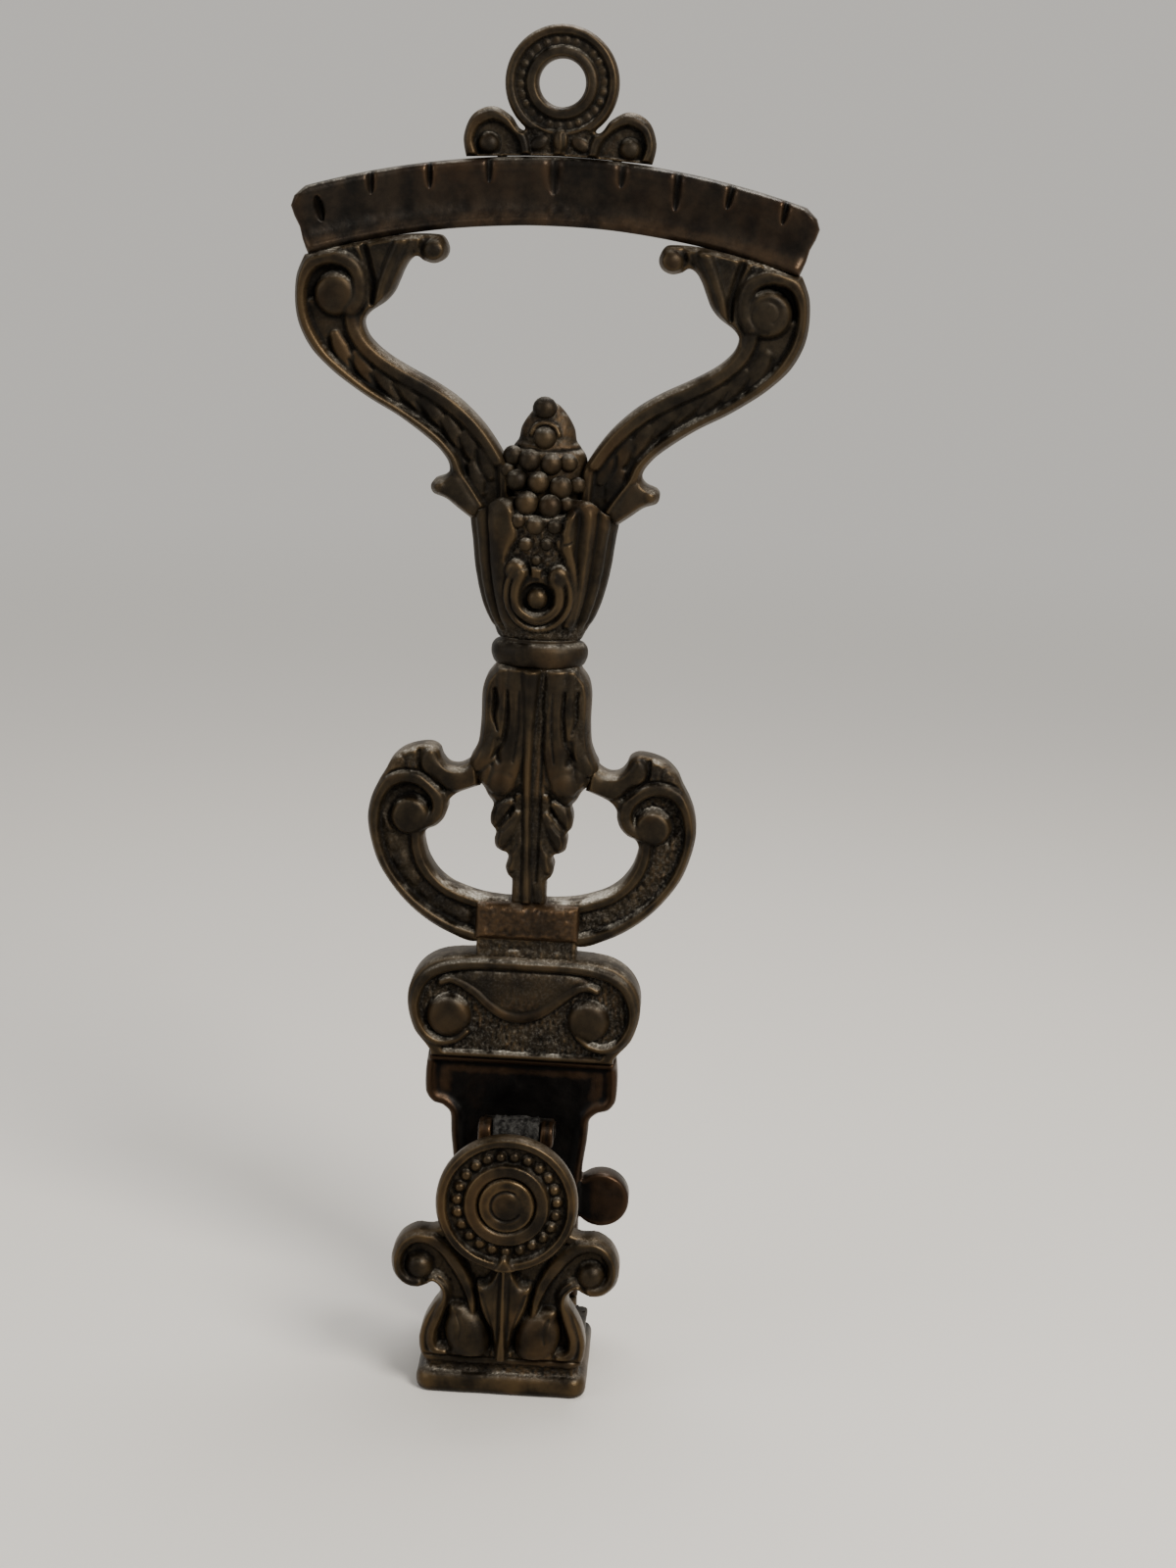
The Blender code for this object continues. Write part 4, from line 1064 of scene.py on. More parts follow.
def finial():
    """The calyx, its two balls and the bunch of grapes."""
    radii = [
        (8.0, 216.0), (9.2, 222.0), (10.2, 228.0), (9.9, 232.4), (8.4, 234.9), (7.2, 236.6), (6.7, 239.2)
    ]
    radii += [(5.6, 241.4), (4.2, 243.4), (2.4, 245.2), (0.6, 245.9)]

    def sculpt(c):
        c.rope(curve([(-3.9, 238.2), (-2.9, 240.2), (-0.6, 241.0), (1.8, 240.2), (2.8, 238.2)]), 0.6, 0.8, 0)
        c.cut(curve([(-8.5, 234.6), (0, 234.0), (8.5, 234.6)]), 0.5, 0.5)
        c.uneven(0.16, 4, 11)
        c.grain += 0.3
        c.tooled(0.16, 1.3, 12)

    turned_front("finial_calyx", radii, 0.62, sculpt, ["grape_finial"], "shaft", 70, 120)
    places = [(-1.0, -1.6, 244.2, 3.1), (-0.6, -4.2, 237.2, 2.95)]
    # each grape's x, z, radius and how far it stands before the middle
    bunch = [(-8.3, 232.7, 2.5, 4.4), (-4.0, 231.7, 2.9, 5.6), (1.3, 231.0, 2.8, 5.8), (5.5, 231.4, 2.4, 5.0)]
    bunch += [
        (-7.0, 226.7, 2.8, 6.0), (-1.6, 226.6, 2.8, 7.2), (4.0, 225.6, 2.9, 7.2), (8.0, 226.2, 2.1, 5.8)
    ]
    bunch += [
        (-4.2, 221.5, 3.0, 8.2), (1.6, 221.0, 2.95, 8.6), (-9.6, 229.0, 2.0, 4.4), (5.6, 221.4, 1.9, 7.4)
    ]
    bunch += [(-6.1, 217.0, 1.9, 8.6), (-1.8, 216.0, 2.35, 9.3), (2.9, 216.0, 1.9, 9.2)]
    bunch += [(-4.0, 211.3, 1.8, 9.2), (1.2, 211.5, 1.6, 9.4), (-1.2, 207.4, 1.3, 9.0)]
    places += [(x, -forward, z, radius) for x, z, radius, forward in bunch]
    places = [(x, HANDLE_Y + y, z, radius) for x, y, z, radius in places]
    balls("bunch_of_grapes", places, "handle", (), "shaft", 0.85)


def collar():
    """A flattened torus between two small fillets."""
    z_middle = middle("collar_ring", 2)
    turn = np.linspace(0, 2 * math.pi, 150, endpoint=False)
    profile = curve(
        [
            (8.0, -4.0), (10.0, -3.8), (10.2, -3.2), (11.4, -2.6), (12.2, -0.6), (12.1, 1.4), (11.2, 2.7),
            (10.2, 3.2)
        ]
        + [(10.0, 3.9), (8.0, 4.0)],
        per=6,
    )
    wobble = 1 + 0.006 * np.sin(5 * turn + 1) + 0.004 * np.sin(9 * turn)
    radius = profile[:, :1] * wobble
    grid = np.stack([radius * np.cos(turn), HANDLE_Y + radius * 0.72 * np.sin(turn), 0 * radius], axis=2)
    grid[:, :, 2] = z_middle + profile[:, 1:]
    surface("collar", grid, "handle", ["collar_ring"], "shaft")


STEM = (
    [(0, 180.6), (9.6, 180.6), (11.2, 178.8), (13.0, 176.2), (13.8, 172.4), (13.8, 165.6), (14.2, 160.2)]
    + [(15.2, 157.2), (16.4, 154.6), (15.6, 151.6), (13.6, 149.2), (12.4, 147.8), (11.3, 145.8), (9.9, 143.7)]
    + [(10.5, 141.0), (10.4, 138.6), (9.0, 136.6), (9.3, 134.6), (9.0, 132.6), (7.6, 131.5), (6.0, 130.9)]
    + [(5.6, 129.4), (6.2, 127.4), (5.6, 125.4), (4.4, 123.9), (4.4, 117.4, 0), (0, 117.4)]
)


def leaf_stem():
    """The acanthus stem: folded shoulders, two drooping leaves and a lobed leaf below."""
    made = Plate(region(symmetric(STEM)), (-17, 117), (17, 181.4), 0.27, 1.5)
    x, z = made.p[:, 0], made.p[:, 1]
    crown = np.sqrt(np.clip(1 - (x / 17.5) ** 2, 0, 1)) * 3.2 - 1.9
    crown += 0.9 * soft(z, 156, 170) * np.clip(1 - (x / 15) ** 2, 0, 1)
    crown -= 1.6 * soft(-z, -148.0, -143.0)
    made.uneven(0.1, 5, 13)
    for side in (-1, 1):
        at = lambda *points: curve([(side * px, pz) for px, pz in points])
        # shoulder lobe with its slit, then the broad folds that fall into the drooping leaf
        made.rope(
            at((11.4, 178.0), (12.4, 171.0), (12.0, 164.0), (13.0, 158.6)), 2.6, 1.2, 0, (0.8, 1.0, 0.9, 0.8)
        )
        made.rope(
            at((8.6, 178.6), (8.4, 170.0), (8.8, 162.0), (11.8, 156.6), (13.6, 154.4)), 2.0, 1.5, 0,
            (0.8, 1.0, 1.1, 1.4, 1.0)
        )
        made.rope(
            at((5.0, 179.6), (5.2, 168.0), (5.8, 158.0), (8.2, 150.2)), 3.4, 1.9, -0.1,
            (0.8, 0.95, 0.95, 1.15)
        )
        made.cut(
            at((10.5, 174.0), (10.1, 171.0), (10.4, 167.4), (9.4, 163.4)), 0.55, 1.5 if side < 0 else 0.8,
            taper=(0.6, 1.2, 0.7, 0.3)
        )
        made.cut(
            at((7.2, 174.0), (7.0, 167.0), (8.0, 160.6), (10.6, 156.0)), 0.5, 1.2, taper=(0.4, 1.0, 1.2, 0.6)
        )
        made.cut(at((9.2, 161.0), (9.5, 157.6), (8.9, 155.6)), 0.7, 1.1)
        made.cut(at((4.2, 174.0), (4.2, 164.0), (5.2, 155.6)), 0.4, 0.75, taper=(0.4, 1.2, 0.5))
        made.dome((side * 8.0, 150.2), 3.4, 2.1, 0.3, 1.15, side * 20)
        made.dome((side * 11.8, 151.6), 1.7, 1.5, 0.1, 2.0, side * 14)
        made.dome((side * 13.4, 155.4), 2.6, 1.3, 0.4, 1.4, side * 40)
        made.dome((side * 9.4, 145.8), 1.7, 1.6, -0.2, 1.1, side * 40)
        # deep hollow beneath the drooping leaf
        hollow = at((3.0, 149.4), (6.2, 147.0), (7.6, 143.6), (5.4, 140.0), (2.8, 143.6))
        made.sunk(region(hollow), 1.1, 1.6, 0.1)
        # lobes of the leaf below, smooth towards the rib
        made.rope(
            at((3.2, 146.0), (3.2, 138.0), (2.9, 130.0), (2.8, 119.0)), 2.0, 0.9, -0.2, (0.6, 1.0, 0.9, 0.7)
        )
        made.rope(at((5.6, 144.4), (8.2, 142.0), (10.0, 139.4)), 1.8, 1.5, -0.1, (0.6, 1.1, 1.0))
        made.rope(at((3.6, 141.6), (5.8, 137.6), (8.3, 133.9)), 2.2, 1.9, 0, (0.6, 0.9, 1.0))
        made.rope(at((2.6, 134.6), (3.8, 131.0), (4.9, 127.8)), 1.6, 1.3, 0, (0.6, 0.9, 1.1))
        made.cut(at((2.3, 168.0), (2.1, 158.0), (2.0, 145.0), (1.7, 124.0)), 0.4, 0.7)
        made.cut(at((5.4, 139.6), (7.2, 137.4), (9.4, 136.7)), 0.35, 0.6)
        made.cut(at((3.4, 133.8), (4.6, 131.8), (6.4, 131.1)), 0.35, 0.6)
    rib = curve([(-1.4, 179.6), (-1.5, 165.0), (-1.4, 150.0), (-0.9, 130.0), (-0.5, 118.0)])
    made.rope(rib, 1.1, 1.7, 0.0, (2.4, 1.2, 0.95, 0.95, 1.2))
    made.grain += (0.3 + 0.5 * soft(x, -1, 3) * soft(z, 156, 164)) * soft(-made.h, -1.6, -0.3)
    made.tooled(0.3, 0.75, 14, 3.5)
    made.h += crown
    made.build(
        "acanthus_stem", HANDLE_Y - 4.9, HANDLE_Y + 4.6, "handle", "dark_bronze", ["leaf_stem"], look="shaft"
    )


C_SCROLL = (
    [
        (13.4, 148.2, 0), (16.6, 147.0), (19.6, 145.6), (21.4, 143.6), (21.7, 141.2), (22.6, 138.9),
        (24.4, 137.0)
    ]
    + [
        (26.6, 135.9), (27.5, 134.0), (27.2, 131.4), (26.0, 127.9), (23.4, 124.2), (19.4, 121.3),
        (12.4, 119.0)
    ]
    + [
        (5.0, 118.2, 0), (5.0, 108.0, 0), (14.0, 106.8), (19.8, 108.7), (25.4, 111.6), (30.6, 115.6),
        (35.0, 120.4)
    ]
    + [
        (38.8, 126.2), (41.0, 132.4), (42.0, 138.2), (41.4, 143.0), (39.9, 147.0), (38.0, 150.4),
        (36.4, 153.6)
    ]
    + [
        (33.6, 156.2), (30.0, 157.6), (26.6, 158.0), (24.4, 157.0), (23.4, 154.8), (21.8, 153.1),
        (19.4, 152.7)
    ]
    + [(17.0, 153.8), (14.6, 156.0, 0)]
)


def c_scroll(side):
    """A C-scroll: raised rims, a tooled channel, a curled eye and a leaf that bridges to the stem."""
    name = "right" if side > 0 else "left"
    made = Plate(region(C_SCROLL), (4, 106), (42.8, 159), 0.28)
    made.uneven(0.08, 6, 15 if side > 0 else 16)
    low = lambda p: soft(-p[:, 1], -149.5, -146.5)
    made.channel(1.9, 1.4, 0.9, 0.9 if side > 0 else 0.35, low)
    if side < 0:
        lumps = curve([(36.4, 139.0), (35.0, 131.0), (31.0, 124.6), (24.6, 118.6), (16.4, 113.4)])
        d, t = nearest(made.p, lumps)
        wave = np.abs(np.sin(t * 6.5 * math.pi + 0.5)) ** 0.8
        made.h += soft(-d, -2.6, -0.6) * wave * 0.9 * soft(made.deep, 2.2, 3.2) * low(made.p)
    eye = (31.0, 139.5)
    made.sunk(disc((31.4, 141.0), 6.4), 1.1, 1.3, 0.2)
    outer = [
        (13.0, 108.6), (19.6, 110.6), (25.6, 113.8), (31.0, 118.0), (35.6, 123.4), (38.8, 129.4),
        (40.4, 136.0)
    ]
    outer += [
        (40.0, 142.6), (37.9, 147.0), (34.4, 149.4), (30.4, 149.6), (26.6, 147.8), (24.2, 144.6),
        (23.9, 141.2)
    ]
    outer += [(25.6, 138.6), (28.6, 137.4)]
    made.rope(curve(outer), 1.55, 1.5, -0.3, (0.9, 0.9, 0.9, 1.0, 1.15, 1.25, 1.2))
    inner = [
        (5.0, 116.6), (12.6, 117.6), (19.6, 119.8), (24.2, 122.8), (27.2, 126.4), (28.9, 130.6),
        (29.4, 134.6)
    ]
    made.rope(curve(inner), 1.75, 1.35, -0.3, (1.0, 1.0, 0.9))
    near_rim = soft(-nearest(made.p, curve(inner))[0], -2.8, -1.8) * soft(-made.deep, -0.8, -0.3)
    made.grain += 3.0 * near_rim * soft(-made.p[:, 1], -126.0, -120.0)
    made.button(eye, 5.0 if side < 0 else 4.7, 2.2, 1.8, -0.6, 0.3)
    # leaf over the rim, and its bridge to the stem
    made.pillow(
        region(
            [
                (28.6, 151.6), (28.6, 155.6), (26.0, 157.6), (23.6, 154.6), (18.0, 152.4), (13.6, 155.0),
                (13.4, 148.4), (20.6, 146.4), (25.0, 149.8)
            ]
        ),
        1.7, 2.4, -0.2
    )
    made.pillow(
        region([(29.6, 151.4), (29.6, 157.0), (34.6, 155.2), (37.2, 151.2), (38.0, 149.6), (33.4, 151.4)]),
        1.1, 1.8, -0.2, 0.35
    )
    made.cut(curve([(29.3, 156.6), (29.2, 153.2), (27.6, 150.6), (24.4, 147.8)]), 0.4, 1.0)
    made.cut(curve([(32.4, 151.8), (32.8, 154.4), (34.0, 155.6)]), 0.3, 0.5)
    made.cut(curve([(38.4, 149.4), (34.8, 151.3), (30.4, 151.5), (26.4, 149.6), (23.2, 146.4)]), 0.35, 0.7)
    made.tooled(0.42, 0.95, 17)
    replaced = [name + "_c_scroll"]
    made.build(
        name + "_scroll", HANDLE_FRONT, HANDLE_BACK, "handle", "dark_bronze", replaced, None, side < 0,
        "shaft"
    )


def slab(name, width, z_low, z_high, fillet, sculpt, body, slot, replaced, look):
    """A block with rounded edges as wide as its node, sculpted on its front."""
    low, high = node_box(replaced[0])
    edge = region([(width, z_high, 0), (width, z_low, 0), (-width, z_low, 0), (-width, z_high, 0)], 12)
    made = Plate(edge, (-width - 1, z_low - 1), (width + 1, z_high + 1), 0.3, fillet)
    sculpt(made)
    made.build(name, low[1], high[1], body, slot, replaced, look=look)


def clasp_and_neck():
    """The plain worn band over the scrolls' feet, and the rough block under it."""

    def worn_band(made):
        made.h += 0.5 * np.clip(1 - (made.p[:, 0] / 14) ** 2, 0, 1)
        made.uneven(0.25, 5, 18)
        made.grain += 0.7
        made.tooled(0.3, 1.1, 19, 0.9)
        made.grain *= 0.5
        made.rub_and_highlight += 0.8

    def rough(made):
        made.uneven(0.25, 4, 19)
        made.rope(curve([(-12.4, 104.4), (12.4, 104.4)]), 1.2, 0.5)
        made.grain += 0.7
        made.tooled(0.4, 1.0, 20)

    slab("clasp_band", 13.3, 108.3, 118.1, 1.9, worn_band, "handle", "worn_bronze", ["scroll_band"], "band")
    slab("neck", 12.9, 102.6, 109.0, 0.7, rough, "handle", "dark_bronze", ["neck_block"], "shaft")


CAPITAL = (
    [(0, 103.9), (14.0, 103.9), (21.6, 102.9), (26.6, 100.0), (29.6, 95.2), (30.0, 89.4), (28.2, 83.2)]
    + [(25.2, 79.4), (23.9, 77.6), (23.8, 76.4, 0), (0, 76.4)]
)


def ionic_capital():
    """The capital: a rolled rim that curls under two eyes, and a cushion that hangs over a tooled field."""
    made = Plate(region(symmetric(CAPITAL)), (-31, 76), (31, 105), 0.27, 1.5)
    made.uneven(0.08, 7, 21)
    field = region(
        symmetric(
            [
                (0, 101.6), (19.4, 100.6), (25.6, 96.8), (27.4, 90.4), (26.0, 84.6), (22.0, 80.2),
                (18.0, 76.0), (0, 76.0)
            ]
        )
    )
    made.sunk(field, 2.0, 1.0, 1.0)
    cushion = [
        (-20.4, 97.6), (-14.0, 100.4), (0, 101.0), (14.0, 100.4), (17.4, 97.4), (14.4, 96.6), (10.6, 93.4)
    ]
    cushion += [
        (6.8, 90.2), (2.8, 88.0), (-1.4, 87.2), (-5.8, 88.2), (-9.6, 91.0), (-12.8, 94.2), (-16.6, 96.4)
    ]
    made.pillow(region(cushion), 2.6, 4.0, -2.0, 0.3)
    made.grain += 0.8 * soft(made.p[:, 1], 93.0, 97.0) * soft(made.h, 0.6, 1.2)
    hem = [
        (-21.4, 96.4), (-19.0, 97.2), (-15.8, 96.2), (-12.4, 94.1), (-9.2, 91.3), (-5.4, 88.9), (-1.4, 88.0)
    ]
    hem += [(2.8, 88.8), (6.4, 90.9), (10.2, 93.9), (13.6, 96.2), (16.6, 96.8), (18.6, 96.0)]
    made.rope(curve(hem), 1.5, 1.7, -1.0, (0.7, 1.0, 1.15, 1.0, 0.7))
    for x, z, radius in ((-19.2, 87.3, 5.8), (16.9, 87.7, 5.5)):
        made.button((x, z), radius, 2.6, 2.4, -1.9, 0.5)
    rim = [
        (0, 101.9), (12.0, 101.8), (20.6, 100.4), (25.8, 97.2), (28.2, 91.6), (27.8, 86.6), (25.2, 82.2),
        (21.6, 80.3)
    ]
    rim += [(17.4, 81.0), (14.4, 83.4)]
    for side in (-1, 1):
        made.rope(curve(rim) * [side, 1], 1.5, 2.0, -1.0, (0.95, 1.0, 1.0, 0.8, 0.6), square=2.4)
    made.rope(curve([(-23.2, 77.2), (23.2, 77.2)]), 0.9, 0.8, -1.6)
    made.tooled(0.4, 0.7, 22, 2.2)
    made.build(
        "capital", HANDLE_Y - 6.6, HANDLE_Y + 5, "handle", "dark_bronze", ["ionic_capital"], look="shaft"
    )


SHANK = (
    [(0, 76.6), (24.4, 76.6, 0), (25.0, 71.0), (24.8, 65.4), (23.0, 62.7), (20.2, 61.7), (18.2, 59.6)]
    + [(17.8, 54.0), (16.8, 45.0), (16.4, 30.0), (17.0, 20.0), (17.2, 10.6, 0), (0, 10.6)]
)


def lofted(name, section, x_low, x_high, edge, body, replaced, look):
    """A closed (y, z) section drawn along x, with rounded ends."""
    section = np.asarray(section)
    centre = (section.min(axis=0) + section.max(axis=0)) / 2
    size = (section.max(axis=0) - section.min(axis=0)) / 2
    ends = [(0.0, edge), (0.3 * edge, 0.3 * edge), (edge, 0.0)]
    count = max(2, int((x_high - x_low) / 0.5))
    inner = [(edge + (x_high - x_low - 2 * edge) * k / count, 0.0) for k in range(1, count)]
    stations = ends + inner + [(x_high - x_low - a, b) for a, b in reversed(ends)]
    grid = np.empty((len(stations), len(section), 3))
    for i, (along, inset) in enumerate(stations):
        grid[i, :, 0] = x_low + along
        grid[i, :, 1:] = centre + (section - centre) * (1 - inset / size)
    surface(name, grid, body, replaced, look)


def round_section(y, z, radius):
    turn = np.linspace(0, 2 * math.pi, 56, endpoint=False)
    return np.stack([y + radius * np.cos(turn), z + radius * np.sin(turn)], axis=1)


def box_section(y_low, z_low, y_high, z_high, radius):
    """A rounded rectangle, going round from the back towards the top."""
    made = []
    for y, z, start in ((y_high, z_high, 0), (y_low, z_high, 90), (y_low, z_low, 180), (y_high, z_low, 270)):
        inward = (
            y - math.copysign(radius, y - (y_low + y_high) / 2),
            z - math.copysign(radius, z - (z_low + z_high) / 2)
        )
        made.append(arc(inward, radius, start, start + 90, 5))
    made = np.concatenate(made)
    return curve([(*p, 0) for p in made], True, 3)


def shank_plate():
    """The flat shank, coloured near-black as painted shade, with its shoulders and rim, and the round lobe on its
    right edge.
    """
    shape = joined(region(symmetric(SHANK)), disc((22.2, 38.0), 7.3), blend=1.0)
    made = Plate(shape, (-26, 10), (30.5, 77.5), 0.36, 1.0)
    made.uneven(0.15, 9, 23)
    made.channel(
        1.8, 0.9, 1.8, 0.1,
        lambda p: soft(-p[:, 0], -17.5, -15.5) + soft(p[:, 1], 52, 56) - soft(
            -p[:, 0], -17.5, -15.5
        ) * soft(p[:, 1], 52, 56)
    )
    made.edge_rope(1.1, 1.2, 0.5, -0.1, lambda p: (p[:, 0] < 16.8) | (p[:, 1] > 46))
    made.rope(curve([(-24, 75.4), (24, 75.4)]), 1.2, 1.4)
    x, z = made.p[:, 0], made.p[:, 1]
    # painted highlights: the lobe's right part, both shoulders and the top ledge take the rubbed colour
    made.rub_and_highlight += 1.3 * soft(x, 18.0, 20.5) * soft(-z, -47, -44)
    made.rub_and_highlight += 1.5 * np.maximum(soft(np.abs(x), 16.0, 20.0) * soft(z, 57, 62), soft(z, 70.0, 72.0))
    made.tooled(0.5, 1.6, 24)
    # the shank, its hinge knuckle and its web take the near-black look that paints the recess's shade
    made.build("shank_painted_shade", 16.0, 23.0, "handle", "dark_bronze", ["shank_plate"], look="shank_painted_shade")
    lofted("hinge_knuckle", round_section(HINGE_Y, HINGE_Z, 5.0), -11.5, 11.5, 0.6, "handle", (), "shank_painted_shade")
    lofted("hinge_web", box_section(16.4, 5.0, 22.6, 13.0, 0.6), -11.4, 11.4, 0.6, "handle", (), "shank_painted_shade")


def bored_barrel(y, z):
    """The barrel on the worm's axis: crusty outside, with a bore for its pin."""
    bore, radius, half, edge = 1.8, 3.4, 5.9, 0.5
    outside = [(radius - edge, -half), (radius, edge - half)]
    outside += [(radius, x) for x in np.linspace(edge - half, half - edge, 24)[1:-1]]
    outside += [(radius, half - edge), (radius - edge, half)]
    profile = np.array(outside + [(bore, half), (bore, 0.0), (bore, -half)])
    columns, rows = 56, len(profile)
    turn = np.arange(columns) * 2 * math.pi / columns
    x = np.repeat(profile[:, 1:], columns, axis=1)
    where = np.stack([1.3 * x, 12.0 * np.abs(np.sin(turn / 2)) + 0 * x], axis=2).reshape(-1, 2)
    crust = 0.4 * lumps(where, 61).reshape(x.shape) * (profile[:, :1] > bore + 0.5)
    reach = profile[:, :1] + crust
    points = np.stack([x, y + reach * np.cos(turn), z + reach * np.sin(turn)], axis=2).reshape(-1, 3)
    i, j = np.meshgrid(np.arange(rows), np.arange(columns), indexing="ij")
    at = lambda r, c: (r % rows) * columns + c % columns
    faces = np.stack([at(i, j), at(i, j + 1), at(i + 1, j + 1), at(i + 1, j)], axis=2).reshape(-1, 4)
    piece = grid_piece("crusty_barrel", points, faces, [], "barrel", None, None)
    settle(piece, "worm_arm", ["worm_barrel"])


def clevis_painted_shade():
    """Two low ears with rounded tops on a web against the shank, and the crusty barrel between them."""
    low, high = node_box("worm_clevis")
    y, z = middle("worm_barrel", 1), middle("worm_barrel", 2)
    ear = curve(
        [
            (high[1], 57.0, 0), (high[1], 59.4, 0), (9.0, 60.6), (5.4, 63.0), (2.9, 63.7), (0.3, 62.7),
            (-0.7, 60.6), (-0.2, 57.8)
        ]
        + [(2.4, 57.0), (7.0, 56.6)],
        True,
        5,
    )
    # the ears and web take the near-black clevis look, which paints the recess's shade
    for side, word in ((-1, "left"), (1, "right")):
        x_low, x_high = sorted((side * 6.3, side * high[0]))
        replaced = ["worm_clevis"] if side < 0 else ()
        lofted(word + "_clevis_ear", ear, x_low, x_high, 0.6, "handle", replaced, "clevis_painted_shade")
    lofted(
        "clevis_web", box_section(12.6, 55.2, high[1], 60.2, 0.5), low[0] + 0.4, high[0] - 0.4, 0.5,
        "handle", (), "clevis_painted_shade"
    )
    bored_barrel(y, z)


def worm():
    """The steel helix, smooth and right-handed, with a ground point."""
    low, high = node_box("worm")
    centre = np.array([0.0, middle("worm_barrel", 1)])
    radius, turns, sides = 3.2, 4.5, 12
    top, tip = high[2], low[2] + 0.2
    t = np.linspace(0, 1, 261)
    angle = -2 * math.pi * turns * t
    swell = radius * soft(t, 0, 0.09)
    path = np.stack(
        [centre[0] + swell * np.cos(angle), centre[1] + swell * np.sin(angle), top - 4 - (top - 4 - tip) * t],
        axis=1
    )
    path = np.concatenate([[[*centre, top], [*centre, top - 2.0]], path])
    wire = np.concatenate([[1.3, 1.3], 1.3 * np.minimum(1.0, 0.1 + (1 - t) * 9)])
    along = np.gradient(path, axis=0)
    along /= np.linalg.norm(along, axis=1)[:, None]
    out = np.cross(along, [0.0, 0.0, 1.0]) + [1e-4, 0, 0]
    out /= np.linalg.norm(out, axis=1)[:, None]
    over = np.cross(along, out)
    turn = np.linspace(0, 2 * math.pi, sides, endpoint=False)[None, :, None]
    grid = path[:, None] + wire[:, None, None] * (out[:, None] * np.cos(turn) + over[:, None] * np.sin(turn))
    surface("worm_wire", grid, "worm_arm", ["worm"], "steel")


# ---------------------------------------------------------------- the foot


def foot_sole():
    """The sole: a rolled lip, a cove and a plinth, swept round a rounded rectangle, with two hinge ears."""
    half_x, front, back = 21.4, -25.0, 13.6
    profile = [(-3.0, 0.0), (-1.2, 0.1), (-0.3, 0.8), (0.1, 2.2), (0.0, 3.8), (-0.7, 5.0), (-1.7, 5.5)]
    profile += [(-2.2, 6.3), (-2.1, 7.3), (-1.5, 8.1), (-1.2, 8.8), (-1.6, 9.5), (-2.6, 9.8), (-5.0, 9.8)]
    path = curve(profile, per=5)
    around = []
    for side_x, side_y, start in ((1, -1, -90), (1, 1, 0), (-1, 1, 90), (-1, -1, 180)):
        size = 4.2 if side_y < 0 else 1.6
        cx = side_x * (half_x - size)
        cy = front + size if side_y < 0 else back - size
        for k in range(13):
            turn = math.radians(start + 90 * k / 12)
            way = (math.cos(turn), math.sin(turn))
            around.append((cx + size * way[0], cy + size * way[1], *way))
    ring = []
    for k, a in enumerate(around):
        b = around[(k + 1) % len(around)]
        parts = max(1, int(math.hypot(b[0] - a[0], b[1] - a[1]) / 0.6))
        ring += [[a[m] + (b[m] - a[m]) * j / parts for m in range(4)] for j in range(parts)]
    ring = np.array(ring)
    ring[:, 2:] /= np.linalg.norm(ring[:, 2:], axis=1)[:, None]
    x, y = ring[:, 0], ring[:, 1]
    out, z = path[:, :1], path[:, 1:]
    cove = soft(z, 5.0, 5.8) * soft(-z, -8.8, -8.0)
    flat = lambda size: np.stack([(x + 0.8 * y + 0 * z).ravel() / size, (z + 0 * x).ravel() / size], axis=1)
    wave = 0.1 * lumps(flat(5.0), 41).reshape(len(path), -1)
    pits = cove * 0.28 * lumps(flat(0.8), 42).reshape(len(path), -1)
    push = out + wave * soft(z, 0.1, 0.5) + pits
    grid = np.stack([x + ring[:, 2] * push, y + ring[:, 3] * push, z + 0 * push], axis=2)
    grain = cove + 0 * push
    rub_and_highlight = 0.7 * soft(z, 1.0, 2.0) * soft(-z, -5.2, -4.2) + 0 * push
    surface("sole", grid, "foot", ["foot_base"], "foot", grain=grain, rub_and_highlight=rub_and_highlight)
    for side, word in ((-1, "left"), (1, "right")):
        x_low, x_high = sorted((side * 11.8, side * 17.0))
        lofted(
            word + "_hinge_ear", round_section(HINGE_Y, HINGE_Z, 5.0), x_low, x_high, 0.6, "foot", (), "foot"
        )
        arm_box = box_section(9.0, 1.2, HINGE_Y, 8.8, 0.5)
        lofted(word + "_ear_arm", arm_box, x_low + 0.1, x_high - 0.1, 0.5, "foot", (), "foot")


CHEEK = (
    [
        (0, 66.0), (7.6, 64.0), (12.4, 57.6), (13.4, 49.6), (15.4, 44.6), (18.8, 43.0), (22.6, 43.0),
        (26.4, 40.6)
    ]
    + [(28.5, 36.0), (28.0, 31.2), (25.4, 28.2), (22.2, 27.3), (19.6, 28.2), (17.9, 29.0), (16.2, 27.4)]
    + [(16.2, 25.2), (18.0, 22.3), (19.9, 18.6), (20.9, 14.6), (20.8, 11.6), (20.3, 9.6, 0), (0, 9.6)]
)


